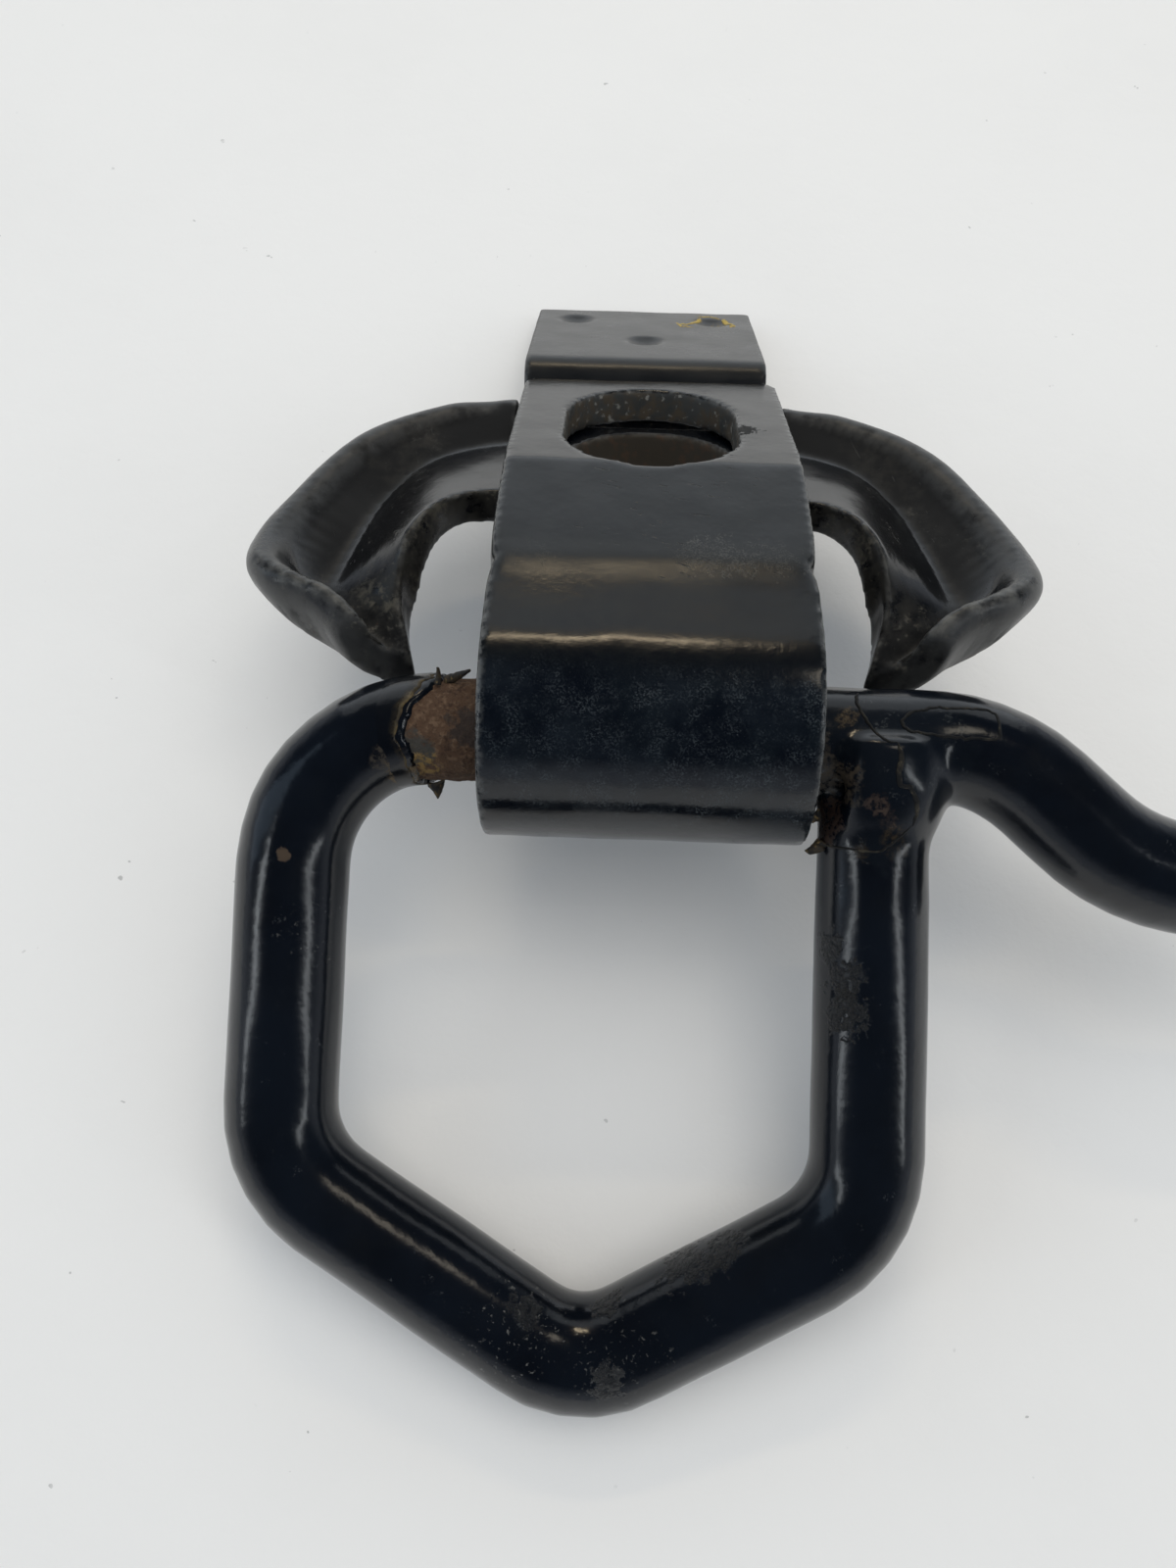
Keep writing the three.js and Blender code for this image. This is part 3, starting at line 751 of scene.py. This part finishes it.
spot_group = end_group(tree, math_node(tree, "SUBTRACT", 1.0, outside, clamp=True))
print("groups:", [group.name for group in bpy.data.node_groups])


# %% A finish being built up in layers
class Finish:
    """A material with a base, and layers of another colour where a mask says so."""

    def __init__(self, name, colour, roughness, specular=0.5):
        self.material = bpy.data.materials.new(name)
        self.material.use_nodes = True
        self.tree = self.material.node_tree
        self.shader = self.tree.nodes["Principled BSDF"]
        self.shader.inputs["Specular IOR Level"].default_value = specular
        self.place = add(self.tree, "TexCoord").outputs["Object"]
        self.colour = add(self.tree, "RGB").outputs[0]
        self.colour.default_value = (*colour, 1)
        self.roughness = math_node(self.tree, "ADD", roughness, 0.0)
        self.height = None

    def group(self, group, **values):
        """Places a shared effect, and gives its mask."""
        made = add(self.tree, "Group", node_tree=group)
        self.tree.links.new(self.place, made.inputs["Place"])
        for key, value in values.items():
            made.inputs[key].default_value = value
        return made.outputs["Mask"]

    def mask(self, name):
        """A mask that the piece keeps at its points."""
        return add(self.tree, "Attribute", attribute_name=name).outputs["Fac"]

    def both(self, a, b):
        """Where two masks meet."""
        return math_node(self.tree, "MULTIPLY", a, b)

    def dust(self, scale, amount):
        """The dust group with a scale and an amount."""
        return self.group(dust_group, Scale=scale, Amount=amount)

    def scratches(self, turn, amount):
        """The scratch group with a turn and an amount."""
        return self.group(scratch_group, Turn=turn, Amount=amount)

    def spot(self, centre, radius, ragged=0.5, scale=700.0):
        """A ragged spot; centre and radius in mm."""
        return self.group(
            spot_group, Centre=[c * MM for c in centre], Radius=radius * MM, Ragged=ragged, Scale=scale,
        )

    def grain(self, scale, low, high, detail=4.0):
        """Noise cut to a mask."""
        return step_node(self.tree, noise_node(self.tree, self.place, scale, detail), low, high)

    def layer(self, mask, colour, roughness, strength=1.0):
        """Paints a colour and a roughness over what is there."""
        share = math_node(self.tree, "MULTIPLY", mask, strength, clamp=True)
        mixed = add(self.tree, "Mix", data_type="RGBA")
        self.tree.links.new(share, mixed.inputs["Factor"])
        self.tree.links.new(self.colour, mixed.inputs[6])
        mixed.inputs[7].default_value = (*colour, 1)
        self.colour = mixed.outputs[2]
        blend = add(self.tree, "Mix", data_type="FLOAT")
        self.tree.links.new(share, blend.inputs[0])
        self.tree.links.new(self.roughness, blend.inputs[2])
        blend.inputs[3].default_value = roughness
        self.roughness = blend.outputs[0]

    def bump(self, mask, millimetres):
        """Raises the surface where the mask is, by so many millimetres."""
        part = math_node(self.tree, "MULTIPLY", mask, millimetres)
        self.height = part if self.height is None else math_node(self.tree, "ADD", self.height, part)

    def done(self):
        """Joins everything to the shader."""
        self.tree.links.new(self.colour, self.shader.inputs["Base Color"])
        self.tree.links.new(self.roughness, self.shader.inputs["Roughness"])
        if self.height is not None:
            bump = add(self.tree, "Bump")
            bump.inputs["Strength"].default_value = 1.0
            bump.inputs["Distance"].default_value = MM
            self.tree.links.new(self.height, bump.inputs["Height"])
            self.tree.links.new(bump.outputs[0], self.shader.inputs["Normal"])
        return self.material


# %% [markdown]
# ## The black coat
# The coat is the same plastic everywhere: near-black with a breath of blue, glossy
# where nothing rubs it and satin where handling has matted it. Each piece then adds
# its own wear. Colours of dust, rust and bare metal are named once.

# %% Colours and the coat's base
COAT = (0.0012, 0.0018, 0.0034)
DUST = (0.19, 0.20, 0.19)
DIRT = (0.060, 0.046, 0.030)
RUST = (0.070, 0.040, 0.024)
RUST_DARK = (0.035, 0.019, 0.012)
OCHRE = (0.21, 0.135, 0.045)
SCUFF = (0.26, 0.27, 0.27)


def coat_finish(name, roughness, dust, scratch, turn=(0, 0, 0), specular=0.5):
    """The black coat with slow changes of gloss, dust and fine scratches."""
    finish = Finish(name, COAT, roughness, specular)
    finish.layer(finish.grain(45, 0.35, 0.7), (0.0018, 0.0025, 0.0038), roughness + 0.04)
    finish.layer(finish.grain(190, 0.45, 0.75), (0.0028, 0.0034, 0.0044), roughness + 0.05)
    specks = finish.dust(1500.0, dust)
    finish.layer(specks, DUST, 0.75, 0.42)
    lines = finish.scratches(turn, scratch)
    finish.layer(lines, SCUFF, 0.6, 0.35)
    finish.bump(finish.grain(600, 0.3, 0.7), 0.010)
    finish.bump(lines, -0.012)
    return finish


def dress(piece, finish):
    """Gives a piece its finished material."""
    piece.data.materials.clear()
    piece.data.materials.append(finish.done() if isinstance(finish, Finish) else finish)


# %% [markdown]
# ## Strap
# Its top is satin and grey with handling. The front of the eye is glossier, full of
# frost and specks of dust, and the crease has rubbed patches. Dirt from the bolt
# sits on the wall of the slot, which is measured here as a mask of its own.

# %% Strap: where the slot's wall is
SLOT_REACH = 18.5
HALF_THICK = 2.5
WALL_REACH = 4
points = read_points(strap) / MM
normals = read_normals(strap)
away = points - slot_centre
above = away @ up
flat_away = away - np.outer(above, up)
in_slot = (np.linalg.norm(flat_away, axis=1) < SLOT_REACH) & (np.abs(above + HALF_THICK) < WALL_REACH)
steep = 1 - np.abs(normals @ up)
store(strap, "slot_wall", in_slot * ramp(steep, 0.35, 0.8))
store(strap, "front", ramp(-normals[:, 1], -0.02, 0.30) * ramp(points[:, 1], 3, -4))
print("slot wall points:", int((in_slot & (steep > 0.6)).sum()))

# %% Strap finish
finish = coat_finish("black_coat_strap", 0.15, 0.16, 0.22, (0, 0, 0.5))
finish.layer(finish.grain(700, 0.20, 0.80), (0.0042, 0.0056, 0.0056), 0.20, 0.7)
front = finish.mask("front")
finish.layer(front, (0.0012, 0.0022, 0.0046), 0.12)
frost = finish.both(finish.grain(150, 0.38, 0.74), front)
finish.layer(frost, (0.0045, 0.0075, 0.0105), 0.22, 0.8)
fine_frost = finish.both(finish.grain(420, 0.36, 0.74), finish.grain(3800, 0.44, 0.66))
finish.layer(finish.both(fine_frost, front), (0.060, 0.074, 0.082), 0.5, 0.50)
specks = finish.both(finish.grain(5200, 0.66, 0.74), front)
finish.layer(specks, (0.12, 0.135, 0.14), 0.6, 0.5)
finish.layer(finish.both(finish.grain(120, 0.44, 0.78), front), (0.010, 0.015, 0.021), 0.28, 0.6)
for centre, radius, strength in (
    ((-2, 4.6, 48), 2.6, 0.30), ((-9.5, 5.2, 48), 3.2, 0.40), ((-6, 4.4, 48), 2.6, 0.34),
    ((-31, 4, 48), 2.4, 0.16), ((2.6, 3.5, 48), 1.4, 0.5), ((-12.5, 5.6, 48), 2.0, 0.25),
):
    rubbed = finish.both(finish.spot(centre, radius, 0.9, 900.0), finish.grain(3800, 0.44, 0.62))
    finish.layer(rubbed, (0.075, 0.075, 0.070), 0.5, strength)
finish.layer(finish.mask("crease"), (0.006, 0.0072, 0.0072), 0.34, 0.40)
chip = finish.spot((-3.6, 35.6, 35.0), 1.7, 0.8, 900.0)
finish.layer(chip, (0.006, 0.006, 0.005), 0.75)
finish.bump(chip, -0.22)
wrinkles = finish.both(
    finish.spot((-12, 18, 45), 13, 0.6, 160.0), finish.scratches((0, 0, 0.25), 0.62),
)
finish.bump(wrinkles, -0.05)
finish.layer(wrinkles, (0.012, 0.013, 0.014), 0.6, 0.7)
wall = finish.mask("slot_wall")
finish.layer(wall, (0.040, 0.042, 0.040), 0.6, 0.85)
finish.layer(finish.both(wall, finish.grain(420, 0.40, 0.62)), DIRT, 0.85, 0.9)
finish.layer(finish.both(wall, finish.grain(900, 0.58, 0.68)), (0.25, 0.25, 0.23), 0.6, 0.7)
edge = finish.mask("edge")
finish.layer(finish.both(edge, finish.grain(900, 0.36, 0.62)), (0.16, 0.165, 0.16), 0.5, 0.55)
finish.layer(finish.mask("hollow"), DIRT, 0.8, 0.35)
dress(strap, finish)

# %% [markdown]
# ## Yoke
# Inside the wings the coat is glossy, scratched by slings and full of dust, and the
# wall at the back is matt. The rolled rim is painted a patchy dull grey, partly for
# rubbing and partly as painted sheen on the bead, the cut front edge holds dirt, and
# the tips are scuffed.

# %% Yoke: inside and back of the wings, cut edge, tips and the wall of the hole
points = read_points(yoke) / MM
normals = read_normals(yoke)
from_middle = np.abs(points[:, 0] - yoke_middle[0])
faces_up, faces_front = normals @ up, -(normals @ back)
wall_side = ramp(inward, 12.5, 10) * ramp(inward, 1, 3)
store(yoke, "inside", ramp(faces_up, 0.15, 0.7) * ramp(from_middle, 27, 34))
store(yoke, "cut_edge", ramp(faces_front, 0.3, 0.75) * ramp(inward, 10, 12.5))
store(yoke, "back_wall", ramp(faces_front, 0.10, 0.45) * wall_side)
store(yoke, "tips", ramp(from_middle, 29, 38) * ramp(points[:, 1], 9, -1) * ramp(points[:, 2], 24, 30))
reach = np.hypot(from_middle, (points - slot_centre) @ back)
store(yoke, "hole_wall", ramp(reach, 14.2, 13.0) * ramp(1 - np.abs(faces_up), 0.05, 0.5))

# %% Yoke finish
finish = coat_finish("black_coat_yoke", 0.18, 0.22, 0.30, (0, 0, 1.1))
inside = finish.mask("inside")
finish.layer(inside, (0.0014, 0.0018, 0.0026), 0.13, 0.9)
finish.layer(finish.mask("back_wall"), (0.0010, 0.0014, 0.0022), 0.75, 0.9)
for turn, scale in (((0, 0, 1.25), 0.55), ((0, 0, -0.6), 0.45)):
    scored = finish.both(inside, finish.scratches(turn, scale))
    finish.layer(scored, (0.040, 0.039, 0.034), 0.5, 0.40)
    finish.bump(scored, -0.03)
finish.layer(finish.both(inside, finish.grain(140, 0.52, 0.80)), (0.0065, 0.0066, 0.0060), 0.26, 0.6)
finish.layer(finish.both(inside, finish.dust(1300.0, 0.62)), (0.060, 0.057, 0.048), 0.6, 0.34)
for side in (-1, 1):
    corner = finish.spot((strap_middle / MM + side * 33, 38, 28), 11, 0.5, 150.0)
    dusty = finish.both(corner, finish.grain(500, 0.36, 0.66))
    finish.layer(finish.both(dusty, inside), (0.020, 0.018, 0.013), 0.6, 0.35)
cut_edge = finish.mask("cut_edge")
finish.layer(finish.both(cut_edge, finish.grain(420, 0.28, 0.6)), (0.020, 0.018, 0.0135), 0.6, 0.7)
finish.layer(finish.both(cut_edge, finish.dust(1100.0, 0.75)), (0.11, 0.10, 0.075), 0.7, 0.5)
hole_wall = finish.mask("hole_wall")
finish.layer(hole_wall, (0.040, 0.032, 0.022), 0.8, 0.9)
finish.layer(finish.both(hole_wall, finish.grain(600, 0.5, 0.66)), RUST, 0.9, 0.6)
tips = finish.mask("tips")
worn = finish.both(tips, finish.grain(260, 0.36, 0.66))
finish.layer(worn, (0.055, 0.053, 0.046), 0.5, 0.45)
finish.layer(finish.both(worn, finish.grain(1100, 0.55, 0.7)), (0.20, 0.185, 0.15), 0.6, 0.6)
finish.layer(finish.both(tips, finish.grain(760, 0.66, 0.76)), RUST, 0.85, 0.8)
# painted sheen on the rolled rim's bead, together with rubbing: a patchy lighter grey
rim_wear_and_sheen = finish.both(finish.mask("rim"), finish.grain(300, 0.26, 0.60))
finish.layer(rim_wear_and_sheen, (0.030, 0.031, 0.031), 0.36, 0.8)
edge = finish.mask("edge")
finish.layer(finish.both(edge, finish.grain(520, 0.34, 0.66)), (0.14, 0.14, 0.13), 0.5, 0.55)
finish.layer(finish.both(finish.mask("hollow"), inside), (0.016, 0.0145, 0.011), 0.6, 0.4)
dress(yoke, finish)

# %% [markdown]
# ## Tail plate and ring
# The tail plate is matt and clean, with painted shade in its dimples. The ring is the
# glossiest piece: its long highlights need an almost smooth coat, broken by a few
# scuffs, dents and dull rubbed spots at the places where it is dragged.

# %% Tail plate finish
finish = coat_finish("black_coat_tail", 0.25, 0.24, 0.24, (0, 0, 0.2))
finish.layer(finish.grain(90, 0.20, 0.70), (0.014, 0.0145, 0.0145), 0.30, 0.8)
finish.layer(finish.grain(90, 0.4, 0.7), (0.010, 0.0105, 0.0105), 0.32, 0.7)
# painted shade: a darker neutral grey in the dimples and inside corners of the plate
finish.layer(finish.mask("hollow"), (0.006, 0.006, 0.006), 0.7, 0.8)
finish.layer(finish.both(finish.mask("edge"), finish.grain(700, 0.4, 0.62)), (0.15, 0.15, 0.145), 0.5, 0.4)
halo = finish.spot((-6.4, 85.2, 7), 5.4, 0.7, 500.0)
finish.layer(finish.both(halo, finish.grain(1300, 0.56, 0.64)), (0.24, 0.17, 0.035), 0.6, 0.5)
dress(tail, finish)

# %% Ring finish
finish = coat_finish("black_coat_ring", 0.135, 0.15, 0.14, (0, 0, 1.5))
# broad patches of navy: partly the coat's own tint, partly painted sheen on the bars
finish.layer(finish.grain(60, 0.25, 0.70), (0.0034, 0.0056, 0.0098), 0.18, 0.8)
for centre, radius, depth in (
    ((-9.9, -73.4, 14), 3.2, 0.30), ((-5.9, -71.6, 15), 2.6, 0.34), ((-19.5, -78.6, 12), 1.7, 0.3),
    ((-29.1, -79.5, 14.6), 1.8, 0.25), ((-60, -74, 12), 2.4, 0.4), ((-19, -87.1, 13.4), 1.9, 0.2),
    ((7.8, -42.1, 28.5), 2.2, 0.22), ((7.9, -45.6, 27.3), 2.6, 0.25), ((6.1, -37.8, 28.1), 2.0, 0.2),
):
    torn = finish.spot(centre, radius, 0.75, 650.0)
    rough = finish.both(torn, finish.grain(1100, 0.35, 0.65))
    finish.layer(torn, (0.004, 0.0048, 0.0058), 0.26, 0.6)
    finish.layer(rough, (0.014, 0.0148, 0.015), 0.5, 0.45)
    finish.bump(rough, depth)
for centre, radius in (
    ((-32.8, -84.3, 14.3), 6.0), ((-19, -86, 14), 7.0), ((-28, -82, 15), 6.0), ((-52, -40, 32), 7),
):
    rubbed = finish.both(finish.spot(centre, radius, 0.7, 260.0), finish.grain(1700, 0.60, 0.70))
    finish.layer(rubbed, (0.15, 0.15, 0.14), 0.6, 0.35)
freckle = finish.spot((-60.1, -30.8, 34.2), 0.9, 0.4, 900.0)
finish.layer(freckle, (0.05, 0.032, 0.018), 0.7)
for centre, radius, colour, strength in (
    ((7.2, -12.9, 40.4), 1.5, OCHRE, 0.30), ((5.0, -18.5, 36.8), 3.6, DIRT, 0.95),
    ((5.2, -23.0, 32.5), 3.2, RUST_DARK, 0.95), ((10.6, -23.5, 38.6), 1.4, RUST, 0.6),
    ((7.0, -20.5, 38.0), 2.6, DIRT, 0.6), ((13.2, -27.0, 36.0), 2.0, OCHRE, 0.14),
    ((9.0, -28.0, 35.0), 1.6, OCHRE, 0.12), ((12.0, -24.6, 37.6), 1.4, RUST, 0.25),
    ((-48.5, -18, 37), 2.2, DIRT, 0.5), ((-46.5, -20, 34.5), 2.4, OCHRE, 0.35),
):
    stain = finish.spot(centre, radius, 0.55, 380.0)
    finish.layer(finish.both(stain, finish.grain(1400, 0.36, 0.64)), colour, 0.8, strength)
around = finish.spot((11.5, -19, 40), 13.0, 0.5, 200.0)
finish.layer(finish.both(around, finish.grain(160, 0.30, 0.70)), (0.004, 0.006, 0.0085), 0.19, 0.6)
finish.layer(finish.both(around, finish.dust(2400.0, 0.60)), (0.10, 0.11, 0.11), 0.6, 0.20)
finish.layer(finish.dust(4200.0, 0.52), (0.10, 0.11, 0.115), 0.5, 0.35)
finish.layer(finish.both(finish.mask("hollow"), finish.grain(500, 0.4, 0.6)), DIRT, 0.8, 0.4)
dress(ring, finish)

# %% [markdown]
# ## Rust, torn edges and paint
# The bare bar is dry rust: a mid brown with darker pits, paler scale and ochre
# where it meets the coat. The torn coat is matt and brown on its broken side.

# %% Rust
finish = Finish("rusty_steel", RUST, 0.85, 0.3)
finish.layer(finish.grain(260, 0.40, 0.66), (0.088, 0.052, 0.032), 0.9, 0.8)
finish.layer(finish.grain(1300, 0.48, 0.64), (0.15, 0.098, 0.062), 0.9, 0.6)
finish.layer(finish.grain(620, 0.55, 0.68), RUST_DARK, 0.8, 0.85)
finish.layer(finish.grain(2300, 0.56, 0.66), (0.03, 0.016, 0.010), 0.8, 0.7)
finish.layer(finish.spot((-38.8, -15, 38.6), 2.6, 0.6, 500.0), (0.022, 0.018, 0.017), 0.6, 0.75)
finish.layer(finish.spot((-45.3, -18.2, 37.6), 2.7, 0.5, 400.0), (0.040, 0.042, 0.038), 0.6, 0.85)
ochre_edge = finish.spot((-44.5, -19.2, 35.4), 2.6, 0.6, 500.0)
finish.layer(finish.both(ochre_edge, finish.grain(1300, 0.4, 0.6)), OCHRE, 0.85, 0.8)
finish.bump(finish.grain(1300, 0.25, 0.75), 0.12)
finish.bump(finish.grain(3600, 0.3, 0.7), 0.05)
dress(bare, finish)

# %% Torn coat, cracks, paint and weld beads
finish = Finish("torn_coat", (0.010, 0.010, 0.010), 0.5, 0.4)
finish.layer(finish.grain(900, 0.42, 0.62), (0.05, 0.038, 0.022), 0.75, 0.75)
finish.layer(finish.grain(1900, 0.55, 0.68), (0.17, 0.12, 0.05), 0.8, 0.7)
finish.bump(finish.grain(1500, 0.3, 0.7), 0.06)
torn = finish.done()
for piece in flakes:
    dress(piece, torn)

finish = coat_finish("lip_coat", 0.17, 0.15, 0.16)
behind, radius = np.tile(np.array(LIP_SHAPE), (LIP_STEPS, 1)).T
store(lip, "broken", (1 - ramp(behind, -0.1, 0.5)) * (radius > 6.3))
broken = finish.mask("broken")
finish.layer(finish.both(broken, finish.grain(420, 0.35, 0.6)), (0.16, 0.115, 0.045), 0.8, 0.85)
finish.layer(finish.both(broken, finish.grain(1500, 0.45, 0.6)), (0.03, 0.022, 0.014), 0.8, 0.8)
dress(lip, finish)

finish = Finish("crack_edge", (0.004, 0.004, 0.004), 0.6, 0.4)
finish.layer(finish.grain(300, 0.50, 0.66), (0.035, 0.030, 0.020), 0.7, 0.8)
finish.layer(finish.grain(1600, 0.60, 0.70), (0.12, 0.10, 0.06), 0.7, 0.6)
finish.bump(finish.grain(2000, 0.3, 0.7), 0.03)
crack_edge = finish.done()
for crack in cracks:
    dress(crack, crack_edge)

finish = Finish("yellow_paint", (0.42, 0.30, 0.055), 0.55, 0.4)
finish.layer(finish.grain(700, 0.46, 0.62), (0.24, 0.17, 0.04), 0.65, 0.8)
finish.layer(finish.grain(1900, 0.58, 0.66), (0.02, 0.018, 0.012), 0.7, 0.9)
finish.bump(finish.grain(1500, 0.3, 0.7), 0.05)
yellow = finish.done()
for dab in dabs:
    dress(dab, yellow)

finish = Finish("coated_weld", COAT, 0.34, 0.5)
finish.layer(finish.dust(1200.0, 0.4), DUST, 0.7, 0.5)
finish.layer(finish.grain(500, 0.5, 0.65), DIRT, 0.8, 0.6)
finish.bump(finish.grain(900, 0.3, 0.7), 0.08)
weld = finish.done()
for node in ("eye_weld", "yoke_weld", "tail_weld"):
    dress(frame["nodes"][node], weld)
print("materials:", [material.name for material in bpy.data.materials if material.users])

# %% [markdown]
# ## Studio
# The piece lies on off-white paper under soft light from a pale room. A black coat
# shows little but what it reflects, so the lamps are placed by the highlights: a
# warm strip behind gives the bright line over the eye, and a narrow lamp on each
# side gives the long streaks down the ring's sides. What glossy pieces mirror of
# the room gets darker overhead, which keeps their upper faces deep black.

# %% Paper
bpy.ops.object.select_all(action="DESELECT")
bpy.ops.mesh.primitive_plane_add(size=6, location=(0, 0, 0))
paper = bpy.context.object
paper.name = "paper"
finish = Finish("paper", (0.80, 0.80, 0.79), 0.9, 0.1)
finish.layer(finish.grain(14, 0.4, 0.7), (0.775, 0.775, 0.765), 0.9, 0.6)
finish.bump(finish.grain(160, 0.3, 0.7), 0.05)
grit = finish.both(finish.grain(420, 0.735, 0.75, 2.0), finish.grain(60, 0.5, 0.6))
finish.layer(grit, (0.25, 0.25, 0.25), 0.9, 0.55)
paper.data.materials.append(finish.done())
paper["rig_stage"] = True

# %% Room light
bpy.context.scene.view_settings.view_transform = "Standard"
world = bpy.data.worlds.new("room")
bpy.context.scene.world = world
world.use_nodes = True
tree = world.node_tree
skyward = add(tree, "SeparateXYZ")
tree.links.new(add(tree, "TexCoord").outputs["Generated"], skyward.inputs[0])
shade = step_node(tree, skyward.outputs["Z"], 0.05, 0.45)
mirrored = add(tree, "Mix", data_type="RGBA")
tree.links.new(shade, mirrored.inputs["Factor"])
mirrored.inputs[6].default_value = (0.42, 0.45, 0.50, 1)
mirrored.inputs[7].default_value = (0.035, 0.045, 0.065, 1)
room = add(tree, "Mix", data_type="RGBA")
tree.links.new(add(tree, "LightPath").outputs["Is Glossy Ray"], room.inputs["Factor"])
room.inputs[6].default_value = (0.435, 0.46, 0.495, 1)
tree.links.new(mirrored.outputs[2], room.inputs[7])
tree.links.new(room.outputs[2], tree.nodes["Background"].inputs["Color"])
tree.nodes["Background"].inputs["Strength"].default_value = 1.0


# %% Lamps
def lamp(name, direction, distance, size, power, colour=(1, 1, 1), mirrored=True):
    """An area lamp that faces the part from a direction; glossy pieces may mirror it."""
    light = bpy.data.lights.new(name, "AREA")
    light.shape = "RECTANGLE"
    light.size, light.size_y = size
    light.energy = power
    light.color = colour
    made = bpy.data.objects.new(name, light)
    bpy.context.collection.objects.link(made)
    made.visible_glossy = mirrored
    toward_lamp = Vector(direction).normalized()
    made.location = Vector((0, 0, 0.02)) + toward_lamp * distance
    made.rotation_euler = toward_lamp.to_track_quat("Z", "Y").to_euler()
    return made


lamp("overhead", (0.1, 0.08, 1), 1.6, (1.7, 1.3), 11.5, (1, 0.965, 0.91), mirrored=False)
lamp("back_wall", (0, 1, 0.40), 1.6, (2.6, 1.2), 6.3, (0.93, 0.98, 1))
lamp("warm_strip", (-0.06, 0.652, 0.758), 1.0, (0.30, 0.024), 0.75, (1, 0.82, 0.56))
lamp("ceiling_lamp", (0.31, 0.20, 0.93), 1.2, (0.20, 0.20), 0.38, (1, 0.90, 0.74))
lamp("left_sky", (-0.86, 0.05, 0.50), 1.3, (0.45, 1.0), 0.9, (0.62, 0.80, 1))
lamp("left_window", (-0.82, -0.29, 0.50), 1.2, (0.070, 0.75), 0.95, (0.90, 0.96, 1))
lamp("right_window", (0.743, -0.325, 0.593), 1.2, (0.070, 0.75), 0.95, (0.92, 0.97, 1))

# %% Camera
VIEWER = Vector((-0.0217, -0.0774, 0.1631))
AIM = math.radians(24), 0, math.radians(2.2)
view = bpy.data.cameras.new("view")
view.lens = 26.19
view.sensor_width = 36
view.sensor_fit = "AUTO"
view.clip_start = 0.005
camera = bpy.data.objects.new("view", view)
bpy.context.collection.objects.link(camera)
camera.location = VIEWER
camera.rotation_euler = AIM
bpy.context.scene.camera = camera

# %% Sizes, and the end
seen_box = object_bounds()
for before, after in zip(cad_box, seen_box):
    print("box corner moved by", [round((b - a) / MM, 2) for a, b in zip(before, after)], "mm")
